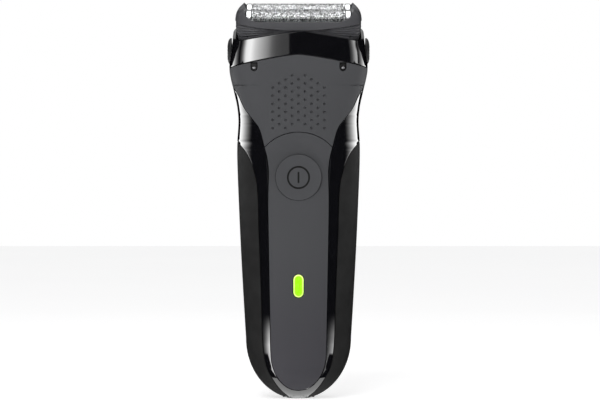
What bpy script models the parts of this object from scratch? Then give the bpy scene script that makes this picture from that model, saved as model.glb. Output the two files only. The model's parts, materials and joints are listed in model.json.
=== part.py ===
"""A cordless foil shaver: a hand-sized casing with a tilted cutting head.

Lengths are in metres.  +Z runs up the handle, -Y is the front, and the origin is the middle of the base.
The head is built in its own frame, tilted forwards: u runs along X, v backwards and w up out of the head.
"""

import math

import bmesh
import bpy
from mathutils import Matrix, Vector

MM = 0.001

# ---- Driving sizes ---------------------------------------------------------------------------------------
GRIP_LENGTH = 104 * MM  # base to neck
GRIP_HALF_WIDTH = 24.9 * MM  # at the widest part of the grip
FRONT_DEPTH = 14.8 * MM  # furthest reach of the grip in front of the Z axis
BACK_DEPTH = 19.4 * MM  # furthest reach behind it, before the flat is cut
REST_FLAT = 0.4 * MM  # how much the flat on the rear cover takes off the back
BASE_HALF_WIDTH = 4.75 * MM  # flat foot at the bottom
PARTING_Y = 0.8 * MM  # plane where the front and rear housings meet

PANEL = 1.5 * MM  # thickness of the panels, the grips and the rear cover
WALL = 1.3 * MM  # thickness of the housings under them
GAP = 0.3 * MM  # clearance between neighbouring pieces
SEAL_THICKNESS = 1.2 * MM  # height of the gasket between the housings
SEAL_LOOP = 1.5 * MM  # width of the gasket's loop round the inlet

HEAD_TILT = math.radians(18)
HEAD_ABOVE_NECK = 40.56 * MM  # neck to the middle of the head plane, along Z
HEAD_FORWARD = 3.14 * MM  # how far the head plane's middle is in front of the Z axis
COLLAR_HALF_WIDTH = 26.5 * MM
COLLAR_HALF_DEPTH = 14.3 * MM
COLLAR_WALL = 1.1 * MM  # at the rim
COLLAR_RIM = 7.3 * MM  # w of the collar's rim at the middle of the front and back
COLLAR_RIM_DROP = 4.25 * MM  # how much lower the rim is at the corners
COLLAR_FOOT = 34.4 * MM  # neck to the collar's lower edge at the middle of the front
COLLAR_FOOT_DROP = 4.8 * MM
SHOULDER_HALF_WIDTH = 28.0 * MM

CASSETTE_HALF_LENGTH = 25.6 * MM
CASSETTE_HALF_DEPTH = 12.9 * MM
CASSETTE_FOOT = -2.2 * MM  # w of the underside
CASSETTE_WALL_TOP = 10.35 * MM  # w of the front wall's upper edge
CASSETTE_FLOOR = 1.3 * MM
CHEEK_RADIUS = 5.9 * MM
CHEEK_CENTRE = 8.4 * MM

FOIL_RADIUS = 4.6 * MM
FOIL_PITCH = 11.8 * MM  # between the two foils' crests
FOIL_CENTRE = 9.3 * MM  # w of the arches' axis
FOIL_HALF_LENGTH = 18.6 * MM
FOIL_THICKNESS = 0.3 * MM
FOIL_TRAVEL = 1.5 * MM
HOLDER_END = 1.7 * MM  # thickness of the polished arch at each end of a foil
HOLDER_FOOT = 4.2 * MM  # w of the holder's underside
HOLDER_RAIL_TOP = 6.6 * MM
HOLDER_RAIL = 0.9 * MM

CUTTER_HALF_LENGTH = 16.5 * MM
CUTTER_BLADES = 9
BLADE_THICKNESS = 0.5 * MM
CUTTER_FOOT = 2.0 * MM
CUTTER_BAR = 4.6 * MM  # height of the bar that carries the blades
CUTTER_BAR_HALF_DEPTH = 2.6 * MM
CUTTER_STROKE = 1.2 * MM  # to each side

TRIMMER_HALF_DEPTH = 1.0 * MM
TRIMMER_TOP = 12.8 * MM
TRIMMER_FOOT = 5.6 * MM
TRIMMER_WALL = 0.4 * MM
TRIMMER_TEETH_SLOTS = 10
TRIMMER_HALF_LENGTH = 23.2 * MM
TRIMMER_TRAVEL = 1.0 * MM
TRIMMER_EAR_HEIGHT = 1.5 * MM
TRIMMER_BLADE_HALF_DEPTH = 0.3 * MM

SPRING_RADIUS = 1.2 * MM
SPRING_WIRE = 0.35 * MM
SPRING_TURNS = 3

SEAT_PLATE = 1.4 * MM
SEAT_PLATE_TOP = -2.9 * MM
PIN_RADIUS = 1.2 * MM
PIN_TOP = 3.2 * MM
BOOT_RADIUS = 3.8 * MM
BOOT_HEIGHT = 1.3 * MM
BRIDGE_HEIGHT = 3.4 * MM
BRIDGE_TOP = -7.2 * MM
BRIDGE_HALF_LENGTH = 9 * MM
BRIDGE_HALF_DEPTH = 8.2 * MM
YOKE_FOOT = -18.5 * MM
YOKE_HALF_LENGTH = 5.2 * MM
ROD_RADIUS = 0.9 * MM
ROD_HALF_LENGTH = 17 * MM

MOTOR_WIDTH = 20.4 * MM
MOTOR_DEPTH = 15.4 * MM
MOTOR_LENGTH = 22 * MM
MOTOR_AXIS_Y = 2.6 * MM
MOTOR_BELOW_HEAD = 38 * MM  # head plane to the top of the motor can
END_CAP = 3.4 * MM
SHAFT_RADIUS = 1.0 * MM
BOSS_RADIUS = 3 * MM
BOSS_HEIGHT = 1.6 * MM
ECCENTRIC_RADIUS = 3.4 * MM
ECCENTRIC_HEIGHT = 3.0 * MM
CRANK_RADIUS = 1.2 * MM  # throw of the eccentric pin, which is the cutters' stroke
CRANK_PIN_RADIUS = 0.8 * MM
CRANK_PIN_LENGTH = 5.6 * MM

CELL_RADIUS = 5.25 * MM
CELL_LENGTH = 43 * MM
CELL_FOOT = 15.5 * MM
CELL_SPACING = 0.4 * MM
STRAP = 0.5 * MM

CHASSIS = 1.2 * MM
CHASSIS_RIB = 1.6 * MM
BOARD = 1.2 * MM
BOARD_HALF_WIDTH = 9 * MM
BOARD_BEHIND_SKIN = 6.2 * MM  # front skin at the button to the board's front
SWITCH_HALF_SIZE = 3 * MM
SWITCH_HEIGHT = 2.2 * MM
PLUNGER_RADIUS = 1.5 * MM
PLUNGER_ABOVE_SWITCH = 1.3 * MM

BUTTON_RADIUS = 9.15 * MM
BUTTON_BELOW_NECK = 14.9 * MM
BUTTON_PROUD = 0.3 * MM
BUTTON_THICKNESS = 1.1 * MM
BUTTON_TRAVEL = 0.6 * MM
STEM_RADIUS = 2.4 * MM
THUMB_ARC_RADIUS = 18.2 * MM  # the joint between the two grey panels, concentric with the button

LAMP_HEIGHT = 45.7 * MM  # base to the middle of the lamp
LAMP_HALF_WIDTH = 2.05 * MM
LAMP_HALF_LENGTH = 4.55 * MM

RELEASE_HALF_DEPTH = 5.6 * MM
RELEASE_FOOT = -9.4 * MM
RELEASE_TOP = 0.6 * MM
RELEASE_FACE = 28.7 * MM
RELEASE_BACK = 27.1 * MM
RELEASE_POCKET = 25.8 * MM
RELEASE_SKIN = 0.9 * MM
RELEASE_TRAVEL = 0.9 * MM
RELEASE_STEM_RADIUS = 1.1 * MM
LATCH_INNER = 22.4 * MM  # the latch tongue that rises from the stem into the cassette
LATCH_OUTER = 23.5 * MM
LATCH_HALF_DEPTH = 2.5 * MM
LATCH_TOP = 1.5 * MM
RELEASE_SPRING_RADIUS = 2.0 * MM

INLET_HALF_WIDTH = 6.3 * MM
INLET_HALF_DEPTH = 4.0 * MM
INLET_MOUTH_HALF_WIDTH = 5.0 * MM
INLET_MOUTH_HALF_DEPTH = 2.7 * MM
INLET_DEPTH = 8.6 * MM
INLET_HEIGHT = 10.4 * MM
INLET_PIN_RADIUS = 0.8 * MM
INLET_PIN_SPACING = 5.0 * MM
INLET_PIN_RECESS = 4.6 * MM
INLET_PIN_TAIL = 1.1 * MM

CATCH_HALF_WIDTH = 1.15 * MM
CATCH_LENGTH = 3.0 * MM
CATCH_OFFSET = 17.8 * MM

SCREW_RADIUS = 0.9 * MM
SCREW_HEAD_RADIUS = 1.7 * MM
SCREW_HEAD = 1.1 * MM
LEAD_RADIUS = 0.55 * MM

# ---- Sizes that follow from these, and the screws' and posts' --------------------------------------------
HEAD_Z = GRIP_LENGTH + HEAD_ABOVE_NECK
YOKE_HALF_DEPTH = 4.8 * MM
ROD_V = 2.4 * MM
PIN_SEAT = 2.4 * MM
MOTOR_TOP = HEAD_Z - MOTOR_BELOW_HEAD
ECCENTRIC_FOOT = MOTOR_TOP + BOSS_HEIGHT + 0.6 * MM
CRANK_PIN_TOP = ECCENTRIC_FOOT + ECCENTRIC_HEIGHT + CRANK_PIN_LENGTH
POST_X = 7.2 * MM
POST_Z = (CELL_FOOT + CELL_LENGTH + MOTOR_TOP - MOTOR_LENGTH - END_CAP) / 2  # between the cells and the motor
POST_END = 6.4 * MM  # y where the chassis posts meet the rear housing's bosses
POST_RADIUS = 2.3 * MM
SCREW_SINK = 3.6 * MM  # how far under the pocket's floor the screw heads sit
HEAD_SCREW_U = 18.2 * MM
HEAD_SCREW_SINK = 0.75 * MM  # how far the heads are let into the seat plate
FOIL_V = FOIL_PITCH / 2
FACES = {"front": -1, "rear": 1}
BAY_HALF_LENGTH = FOIL_HALF_LENGTH + GAP + HOLDER_END + GAP
BAY_RADIUS = FOIL_RADIUS + GAP
SMILE_LOW = 17.2 * MM  # half length of the opening at the front wall's edge
SMILE_HIGH = 21.0 * MM  # and at the cheeks' tops

AROUND = 32  # points round the casing
ARC_STEPS = 10  # points on a rounded outline's quarter


# ---- The casing's outer form -----------------------------------------------------------------------------
def smooth(points):
    """A smooth curve through (position, value) points, as a function of the position."""
    places = [p for p, _ in points]
    values = [v for _, v in points]

    def slope(i):
        low, high = max(i - 1, 0), min(i + 1, len(points) - 1)
        return (values[high] - values[low]) / (places[high] - places[low])

    def at(place):
        if place <= places[0]:
            return values[0]
        if place >= places[-1]:
            return values[-1] + slope(len(points) - 1) * (place - places[-1])
        i = max(k for k in range(len(points) - 1) if places[k] <= place)
        span = places[i + 1] - places[i]
        t = (place - places[i]) / span
        rise = values[i + 1] - values[i]
        first, last = slope(i) * span, slope(i + 1) * span
        return values[i] + t * (first + t * (3 * rise - 2 * first - last + t * (first + last - 2 * rise)))

    return at


def on_grip(share, ratio, size):
    """A point of a grip curve: a share of the grip's length, and a ratio of one of its sizes."""
    return share * GRIP_LENGTH, ratio * size


def above_neck(height, value):
    return GRIP_LENGTH + height * MM, value * MM


BASE_ARCH = 24.5 * MM  # height of the rounded bottom, seen from the front
BASE_ARCH_SIDE = 13 * MM  # and from the side
BASE_HALF_DEPTH = 4.6 * MM
LOW_HALF_WIDTH = 0.857 * GRIP_HALF_WIDTH

half_width_above = smooth(
    [
        on_grip(0.23, 0.857, GRIP_HALF_WIDTH),
        on_grip(0.385, 0.896, GRIP_HALF_WIDTH),
        on_grip(0.577, 0.940, GRIP_HALF_WIDTH),
        on_grip(0.77, 0.976, GRIP_HALF_WIDTH),
        on_grip(0.93, 1.0, GRIP_HALF_WIDTH),
        on_grip(1.0, 0.998, GRIP_HALF_WIDTH),
        (GRIP_LENGTH + 8 * MM, 0.98 * GRIP_HALF_WIDTH),
        (GRIP_LENGTH + 14 * MM, GRIP_HALF_WIDTH),
        above_neck(20, 26.2),
        above_neck(26, 27.6),
        (GRIP_LENGTH + 29.5 * MM, SHOULDER_HALF_WIDTH),
        above_neck(35, 27.5),
        (GRIP_LENGTH + 41 * MM, COLLAR_HALF_WIDTH),
        (GRIP_LENGTH + 58 * MM, COLLAR_HALF_WIDTH),
    ]
)
front_above = smooth(
    [
        on_grip(0.12, 0.85, FRONT_DEPTH),
        on_grip(0.2, 0.925, FRONT_DEPTH),
        on_grip(0.43, 0.987, FRONT_DEPTH),
        on_grip(0.67, 1.0, FRONT_DEPTH),
        on_grip(0.87, 0.96, FRONT_DEPTH),
        on_grip(1.0, 0.905, FRONT_DEPTH),
        (GRIP_LENGTH + 12 * MM, 0.87 * FRONT_DEPTH),
        above_neck(20, 13.0),
        above_neck(27, 14.0),
    ]
)
back_above = smooth(
    [
        on_grip(0.12, 0.65, BACK_DEPTH),
        on_grip(0.2, 0.72, BACK_DEPTH),
        on_grip(0.43, 0.887, BACK_DEPTH),
        on_grip(0.62, 0.984, BACK_DEPTH),
        on_grip(0.75, 1.0, BACK_DEPTH),
        on_grip(0.88, 0.97, BACK_DEPTH),
        on_grip(1.0, 0.9, BACK_DEPTH),
        (GRIP_LENGTH + 16 * MM, 0.8 * BACK_DEPTH),
        above_neck(28, 14.5),
        above_neck(36, 13.8),
    ]
)

HEAD_Y = -HEAD_FORWARD
HEAD_FRAME = Matrix.Translation((0, HEAD_Y, HEAD_Z)) @ Matrix.Rotation(HEAD_TILT, 4, "X")
LEAN = math.tan(HEAD_TILT)


def arch(z, height, foot_share):
    """How far a rounded bottom has opened at z, from 0 to 1: an ellipse's arc that starts at the flat foot."""
    middle = height * math.sqrt(1 - foot_share**2)
    return 1.0 if z >= middle else math.sqrt(max(0, 1 - ((middle - z) / height) ** 2))


def half_width(z):
    foot = BASE_HALF_WIDTH / LOW_HALF_WIDTH
    return half_width_above(z) * arch(z, BASE_ARCH, foot)


def head_wall(z, side):
    """y of the collar's front (side -1) or back (side +1) wall, which leans with the head."""
    return HEAD_Y + side * COLLAR_HALF_DEPTH / math.cos(HEAD_TILT) - (z - HEAD_Z) * LEAN


def blend_to_head(z, value, wall, start, end):
    """The casing's own curve low down, turning into the collar's leaning wall."""
    t = min(1, max(0, (z - GRIP_LENGTH - start) / (end - start)))
    t = t * t * (3 - 2 * t)
    return value * (1 - t) + wall * t


def front_reach(z):
    value = front_above(z) * arch(z, BASE_ARCH_SIDE, BASE_HALF_DEPTH / (0.85 * FRONT_DEPTH))
    return blend_to_head(z, value, -head_wall(z, -1), 20 * MM, 32 * MM)


def back_reach(z):
    value = back_above(z) * arch(z, BASE_ARCH_SIDE, BASE_HALF_DEPTH / (0.65 * BACK_DEPTH))
    return blend_to_head(z, value, head_wall(z, 1), 22 * MM, 40 * MM)


def middle_y(z):
    """y of the widest point of the section at z."""
    head = HEAD_Y - (z - HEAD_Z) * LEAN
    return blend_to_head(z, PARTING_Y, head, 20 * MM, 40 * MM)


def squareness(z):
    """The section's exponent: 2 is an ellipse, and more is squarer."""
    return blend_to_head(z, 2.5, 4.5, 6 * MM, 34 * MM)


def section(z, inset, count):
    """Points round the casing at height z, moved inwards by inset, from +X towards the back."""
    centre, power = middle_y(z), squareness(z)
    wide = half_width(z) - inset
    deep = {-1: front_reach(z) + centre - inset, 1: back_reach(z) - centre - inset}
    ring = []
    for k in range(count):
        angle = math.tau * k / count
        c, s = math.cos(angle), math.sin(angle)
        size = (abs(c) ** power + abs(s) ** power) ** (-1 / power)
        ring.append((wide * c * size, centre + deep[1 if s > 0 else -1] * s * size))
    return ring


TOP = GRIP_LENGTH + 60 * MM
POCKET = PANEL + GAP  # how far under the casing's surface the panels' pockets go
INNER = POCKET + WALL  # and how far in the hollow starts
ARCH_RINGS = [BASE_ARCH * (1 - math.cos(math.radians(a))) for a in (0, 15, 26, 38, 52, 68)]
GRIP_RINGS = [share * GRIP_LENGTH for share in (0.24, 0.36, 0.48, 0.6, 0.72, 0.84, 0.93, 1.0)]
HEAD_RINGS = [GRIP_LENGTH + h * MM for h in (7, 13, 18, 22, 26, 29.5, 33, 37, 41)] + [TOP]


def loft(name, rings):
    """A closed solid through rings of points, which all have the same count, from the lowest to the highest."""
    mesh = bmesh.new()
    rings = [[mesh.verts.new(point) for point in ring] for ring in rings]
    for low, high in zip(rings, rings[1:]):
        for k in range(len(low)):
            after = (k + 1) % len(low)
            mesh.faces.new((low[k], low[after], high[after], high[k]))
    mesh.faces.new(list(reversed(rings[0])))
    mesh.faces.new(rings[-1])
    return mesh_object(name, mesh)


def casing_skin(name, inset):
    """The casing's outer form, moved inwards by inset, as one closed solid. The inner faces are coarser."""
    levels, count = ARCH_RINGS + GRIP_RINGS + HEAD_RINGS, AROUND
    if inset >= INNER:
        levels, count = levels[:-1:2] + levels[-1:], AROUND // 2
    rings = []
    for z in levels:
        level = inset + z * (TOP - inset) / TOP
        rings.append([(x, y, level) for x, y in section(z, inset, count)])
    return loft(name, rings)


# ---- Making, cutting and joining solids ------------------------------------------------------------------
for old in list(bpy.data.objects):
    bpy.data.objects.remove(old)
shaver = bpy.data.collections.new("foil_shaver")
bpy.context.scene.collection.children.link(shaver)
head_axis = bpy.data.objects.new("head_axis", None)
head_axis.matrix_world = HEAD_FRAME
shaver.objects.link(head_axis)


def material(name, colour, roughness, metallic=0.0):
    made = bpy.data.materials.new(name)
    made.use_nodes = True
    surface = made.node_tree.nodes["Principled BSDF"]
    surface.inputs["Base Color"].default_value = (*colour, 1)
    surface.inputs["Roughness"].default_value = roughness
    surface.inputs["Metallic"].default_value = metallic
    return made


GLOSS_BLACK = material("gloss_black", (0.008, 0.008, 0.009), 0.08)
MATTE_GREY = material("matte_grey", (0.062, 0.063, 0.068), 0.5)
SOFT_GRIP = material("soft_grip", (0.02, 0.02, 0.021), 0.75)
CASSETTE_GREY = material("cassette_grey", (0.07, 0.07, 0.075), 0.4)
FOIL_STEEL = material("foil_steel", (0.62, 0.63, 0.64), 0.3, 1)
POLISHED_STEEL = material("polished_steel", (0.8, 0.8, 0.81), 0.15, 1)
MOTOR_STEEL = material("motor_steel", (0.5, 0.5, 0.5), 0.35, 1)
NICKEL = material("nickel", (0.66, 0.64, 0.58), 0.25, 1)
BRASS = material("brass", (0.72, 0.53, 0.24), 0.3, 1)
WHITE_PLASTIC = material("white_plastic", (0.75, 0.75, 0.72), 0.45)
DARK_PLASTIC = material("dark_plastic", (0.04, 0.04, 0.042), 0.5)
SEAL_RUBBER = material("seal_rubber", (0.03, 0.03, 0.03), 0.8)
BOARD_GREEN = material("board_green", (0.02, 0.16, 0.06), 0.4)
LAMP_GREEN = material("lamp_green", (0.25, 0.85, 0.02), 0.25)
CELL_SLEEVE = material("cell_sleeve", (0.05, 0.2, 0.35), 0.35)
LEAD_RED = material("lead_red", (0.5, 0.02, 0.02), 0.45)
LEAD_BLACK = material("lead_black", (0.015, 0.015, 0.015), 0.45)


def mesh_object(name, mesh):
    """An object of this bmesh, in no collection until finish() gives it a material."""
    mesh.normal_update()
    bmesh.ops.recalc_face_normals(mesh, faces=mesh.faces)
    if mesh.calc_volume(signed=True) < 0:
        bmesh.ops.reverse_faces(mesh, faces=mesh.faces)
    data = bpy.data.meshes.new(name)
    mesh.to_mesh(data)
    mesh.free()
    made = bpy.data.objects.new(name, data)
    bpy.context.scene.collection.objects.link(made)
    return made


def box(name, low, high):
    mesh = bmesh.new()
    bmesh.ops.create_cube(mesh, size=1)
    low, high = Vector(low), Vector(high)
    bmesh.ops.scale(mesh, vec=high - low, verts=mesh.verts)
    bmesh.ops.translate(mesh, vec=(low + high) / 2, verts=mesh.verts)
    return mesh_object(name, mesh)


def rod(name, radius, start, end, sides=20, end_radius=None):
    """A cylinder, or a cone with end_radius, from start to end."""
    mesh = bmesh.new()
    start, end = Vector(start), Vector(end)
    tip = radius if end_radius is None else end_radius
    bmesh.ops.create_cone(
        mesh, cap_ends=True, segments=sides, radius1=radius, radius2=tip, depth=(end - start).length
    )
    turn = (end - start).to_track_quat("Z", "Y").to_matrix().to_4x4()
    mesh.transform(Matrix.Translation((start + end) / 2) @ turn)
    return mesh_object(name, mesh)


FACING = {
    "X": Matrix(((0, 0, 1, 0), (1, 0, 0, 0), (0, 1, 0, 0), (0, 0, 0, 1))),
    "Y": Matrix(((1, 0, 0, 0), (0, 0, -1, 0), (0, 1, 0, 0), (0, 0, 0, 1))),
    "Z": Matrix.Identity(4),
}


def plate(name, outline, low, high, axis):
    """A flat outline made thick along an axis, from low to high. The outline is (y, z), (x, z) or (x, y)."""
    curve = bpy.data.curves.new(name, "CURVE")
    curve.dimensions = "2D"
    curve.fill_mode = "BOTH"
    curve.extrude = (high - low) / 2
    spline = curve.splines.new("POLY")
    spline.points.add(len(outline) - 1)
    for point, (a, b) in zip(spline.points, outline):
        point.co = (a, b, 0, 1)
    spline.use_cyclic_u = True
    mesh = mesh_of_curve(bpy.data.objects.new(name + "_outline", curve), name)
    middle = (low + high) / 2
    shift = Vector([middle if letter == axis else 0 for letter in "XYZ"])
    mesh.transform(Matrix.Translation(shift) @ FACING[axis])
    return mesh_object(name, mesh)


def mesh_of_curve(drawn, name):
    """The mesh that Blender makes of a curve object, with its seams merged. The curve is removed."""
    bpy.context.scene.collection.objects.link(drawn)
    data = bpy.data.meshes.new_from_object(drawn.evaluated_get(bpy.context.evaluated_depsgraph_get()))
    bpy.data.objects.remove(drawn)
    mesh = bmesh.new()
    mesh.from_mesh(data)
    bmesh.ops.remove_doubles(mesh, verts=mesh.verts, dist=1e-7)
    return mesh


def swept(name, points, radius):
    """A round wire through these points."""
    curve = bpy.data.curves.new(name, "CURVE")
    curve.dimensions = "3D"
    curve.bevel_depth = radius
    curve.bevel_resolution = 1
    curve.use_fill_caps = True
    spline = curve.splines.new("POLY")
    spline.points.add(len(points) - 1)
    for point, place in zip(spline.points, points):
        point.co = (*place, 1)
    return mesh_object(name, mesh_of_curve(bpy.data.objects.new(name + "_path", curve), name))


def combine(target, others, operation):
    """Cuts others from target, joins them to it or keeps what they share, and removes them."""
    bpy.context.view_layer.update()
    for other in others:
        step = target.modifiers.new(operation, "BOOLEAN")
        step.operation = operation
        step.object = other
    data = bpy.data.meshes.new_from_object(target.evaluated_get(bpy.context.evaluated_depsgraph_get()))
    target.modifiers.clear()
    target.data = data
    for other in others:
        bpy.data.objects.remove(other)
    return target


def mirror_image(source, name):
    """A copy of source with left and right swapped."""
    mesh = bmesh.new()
    mesh.from_mesh(source.data)
    bmesh.ops.scale(mesh, vec=(-1, 1, 1), verts=mesh.verts)
    return mesh_object(name, mesh)


def cut(target, *others):
    return combine(target, others, "DIFFERENCE")


def join(target, *others):
    return combine(target, others, "UNION")


def keep(target, *others):
    return combine(target, others, "INTERSECT")


def in_head(*objects):
    """Puts objects that were modelled in u, v and w into the tilted head."""
    for placed in objects:
        placed.parent = head_axis
    bpy.context.view_layer.update()
    return objects[0] if len(objects) == 1 else objects


def finish(made, look, origin=None, edges=0.0):
    """Gives a finished solid its material, its origin and, if edges is set, a small bevel."""
    bpy.context.scene.collection.objects.unlink(made)
    shaver.objects.link(made)
    made.data.materials.clear()
    made.data.materials.append(look)
    for face in made.data.polygons:
        face.use_smooth = True
    made.data.set_sharp_from_angle(angle=math.radians(32))
    if origin is not None:
        made.data.transform(Matrix.Translation(-Vector(origin)))
        made.location = origin
    if edges:
        bevel = made.modifiers.new("edges", "BEVEL")
        bevel.width = edges
        bevel.segments = 1
        bevel.limit_method = "ANGLE"
        bevel.angle_limit = math.radians(50)
    return made


# ---- Outlines --------------------------------------------------------------------------------------------
def mirrored(right):
    """A closed outline from its right half, given from the bottom to the top."""
    return right + [(-x, z) for x, z in reversed(right) if x > 1e-6]


def disc(radius, middle=(0, 0), start=0.0, end=math.tau, steps=24, ratio=1.0):
    """Points of an arc round middle; ratio squashes it along the second axis."""
    count = steps if end - start >= math.tau - 1e-9 else steps + 1
    angles = [start + (end - start) * k / steps for k in range(count)]
    return [(middle[0] + radius * math.cos(a), middle[1] + radius * ratio * math.sin(a)) for a in angles]


def capsule(half_wide, half_high, middle=(0, 0)):
    """A slot's outline, upright if it is taller than it is wide."""
    x, z = middle
    if half_high >= half_wide:
        straight = half_high - half_wide
        top = disc(half_wide, (x, z + straight), 0, math.pi, ARC_STEPS)
        return top + disc(half_wide, (x, z - straight), math.pi, math.tau, ARC_STEPS)
    straight = half_wide - half_high
    right = disc(half_high, (x + straight, z), -math.pi / 2, math.pi / 2, ARC_STEPS)
    return right + disc(half_high, (x - straight, z), math.pi / 2, 1.5 * math.pi, ARC_STEPS)


def rounded_box(half_a, half_b, power=5, steps=40):
    """A rectangle with soft corners."""
    points = []
    for k in range(steps):
        c, s = math.cos(math.tau * k / steps), math.sin(math.tau * k / steps)
        size = (abs(c) ** power + abs(s) ** power) ** (-1 / power)
        points.append((half_a * c * size, half_b * s * size))
    return points


BUTTON_Z = GRIP_LENGTH - BUTTON_BELOW_NECK
FAR = 0.1  # further than any part of the casing


def collar_foot(x, lift=0.0):
    """z of the line where the collar meets the handle."""
    return GRIP_LENGTH + COLLAR_FOOT - COLLAR_FOOT_DROP * (abs(x) / (27.5 * MM)) ** 1.25 + lift


def collar_rim(u, lift=0.0):
    """w of the collar's upper edge."""
    return COLLAR_RIM - COLLAR_RIM_DROP * (abs(u) / (24.5 * MM)) ** 1.2 + lift


def across(line, lift, reach=32 * MM, steps=16):
    """Points of a line that is mirrored about the middle, from left to right."""
    return [(reach * (2 * k / steps - 1), line(reach * (2 * k / steps - 1), lift)) for k in range(steps + 1)]


panel_edge = smooth(
    [
        on_grip(0.0, 0.0, GRIP_HALF_WIDTH),
        on_grip(0.1, 0.373, GRIP_HALF_WIDTH),
        on_grip(0.157, 0.434, GRIP_HALF_WIDTH),
        on_grip(0.3, 0.452, GRIP_HALF_WIDTH),
        on_grip(0.6, 0.475, GRIP_HALF_WIDTH),
        on_grip(0.8, 0.49, GRIP_HALF_WIDTH),
        on_grip(0.93, 0.51, GRIP_HALF_WIDTH),
        on_grip(1.0, 0.57, GRIP_HALF_WIDTH),
        (GRIP_LENGTH + 5.3 * MM, 0.64 * GRIP_HALF_WIDTH),
        (GRIP_LENGTH + 9 * MM, 0.75 * GRIP_HALF_WIDTH),
        (GRIP_LENGTH + 13 * MM, 0.87 * GRIP_HALF_WIDTH),
        (GRIP_LENGTH + 18.5 * MM, 0.975 * GRIP_HALF_WIDTH),
        (GRIP_LENGTH + 24 * MM, 1.12 * GRIP_HALF_WIDTH),
        (GRIP_LENGTH + 29 * MM, 1.25 * GRIP_HALF_WIDTH),
    ]
)
PANEL_FOOT = 3.6 * MM
PANEL_ARCH = 15 * MM


def panel_half_width(z):
    """Half width of the grey panels at z; their bottom is a half ellipse."""
    if z >= PANEL_FOOT + PANEL_ARCH:
        return panel_edge(z)
    share = max(0, (z - PANEL_FOOT) / PANEL_ARCH)
    return panel_edge(PANEL_FOOT + PANEL_ARCH) * math.sqrt(max(0, 1 - (1 - share) ** 2))


GRIP_FOOT = 0.9 * MM
grip_edge = smooth(
    [
        (GRIP_FOOT, 0.17 * GRIP_HALF_WIDTH),
        on_grip(0.035, 0.29, GRIP_HALF_WIDTH),
        on_grip(0.07, 0.4, GRIP_HALF_WIDTH),
        on_grip(0.124, 0.52, GRIP_HALF_WIDTH),
        on_grip(0.21, 0.58, GRIP_HALF_WIDTH),
        on_grip(0.39, 0.605, GRIP_HALF_WIDTH),
        on_grip(0.65, 0.645, GRIP_HALF_WIDTH),
        on_grip(0.82, 0.672, GRIP_HALF_WIDTH),
        on_grip(0.9, 0.75, GRIP_HALF_WIDTH),
        on_grip(0.957, 0.86, GRIP_HALF_WIDTH),
        on_grip(1.005, 1.03, GRIP_HALF_WIDTH),
    ]
)
GRIP_TOP = 1.005 * GRIP_LENGTH


def upward(low, high, steps):
    return [low + (high - low) * k / steps for k in range(steps + 1)]


def front_panel_outline(grow):
    """The lower grey panel: rounded below, and cut above by the arc round the button."""
    radius = THUMB_ARC_RADIUS - GAP / 2 + grow
    foot = PANEL_FOOT - grow
    arch_levels = [PANEL_FOOT + PANEL_ARCH * (1 - math.cos(math.radians(a))) for a in (18, 36, 54, 72)]
    side = arch_levels + upward(PANEL_FOOT + PANEL_ARCH, GRIP_LENGTH, 12)
    right = [(0, foot)] + [(panel_half_width(z) + grow, z) for z in side]
    right = [p for p in right if math.hypot(p[0], p[1] - BUTTON_Z) < radius or p[1] < BUTTON_Z]
    reach = math.asin(min(1, right[-1][0] / radius))
    arc = [(radius * math.sin(a), BUTTON_Z + radius * math.cos(a)) for a in upward(reach, 0, 8)]
    return mirrored(right + arc)


def thumb_panel_outline(grow):
    """The upper grey panel: from the arc round the button up to the collar."""
    radius = THUMB_ARC_RADIUS + GAP / 2 - grow
    levels = upward(BUTTON_Z, GRIP_LENGTH + 27 * MM, 22)
    side = [(panel_half_width(z) + grow, z) for z in levels]
    side = [p for p in side if math.hypot(p[0], p[1] - BUTTON_Z) > radius]
    reach = math.asin(min(1, side[0][0] / radius))
    arc = [(radius * math.sin(a), BUTTON_Z + radius * math.cos(a)) for a in upward(0, reach, 8)]
    wide = 31 * MM
    top = [(x, collar_foot(x, -GAP + grow)) for x in upward(wide, 0, 8)]
    return mirrored(arc[:-1] + side + top)


def grip_outline(grow):
    """The soft grip on the right, seen from the front: everything outside the glossy band."""
    levels = upward(GRIP_FOOT, 0.12 * GRIP_LENGTH, 5)[:-1] + upward(0.12 * GRIP_LENGTH, GRIP_TOP, 18)
    inner = [(grip_edge(z) - grow, z) for z in levels]
    inner[-1] = (inner[-1][0], GRIP_TOP + grow)
    return [(inner[0][0], -FAR / 10)] + inner + [(FAR, GRIP_TOP + grow), (FAR, -FAR / 10)]


def rear_cover_outline(grow):
    """The cover on the back: a tall rounded shape inside the glossy band."""
    foot, top = 9 * MM, GRIP_LENGTH + 8 * MM
    middle, tall = (foot + top) / 2, (top - foot) / 2 + grow
    wide = 0.47 * GRIP_HALF_WIDTH + grow
    return [(x, middle + z) for x, z in rounded_box(wide, tall, 3.4, 36)]


def skin_y(x, z, side):
    """y of the casing's surface in front (side -1) or behind (side +1) at x and z."""
    centre, power = middle_y(z), squareness(z)
    deep = front_reach(z) + centre if side < 0 else back_reach(z) - centre
    share = min(1, abs(x) / half_width(z))
    return centre + side * deep * (1 - share**power) ** (1 / power)


# ---- Casing ----------------------------------------------------------------------------------------------
def skin_piece(name, outline, side):
    """A panel that follows the casing's surface: what an outline takes from its outer layer."""
    low, high = (-FAR, PARTING_Y) if side < 0 else (PARTING_Y, FAR)
    made = plate(name, outline, low, high, "Y")
    return cut(keep(made, casing_skin("skin", 0)), casing_skin("under", PANEL))


def pocket(name, outlines, side):
    """The room that panels with these outlines need in the housing, reaching outside the casing."""
    low, high = (-FAR, PARTING_Y) if side < 0 else (PARTING_Y, FAR)
    first, *others = [plate(name, outline, low, high, "Y") for outline in outlines]
    return cut(join(first, *others), casing_skin("floor", POCKET))


def grip_pocket(name, sign):
    outline = [(sign * x, z) for x, z in grip_outline(GAP)]
    return cut(plate(name, outline, -FAR, FAR, "Y"), casing_skin("floor", POCKET))


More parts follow.
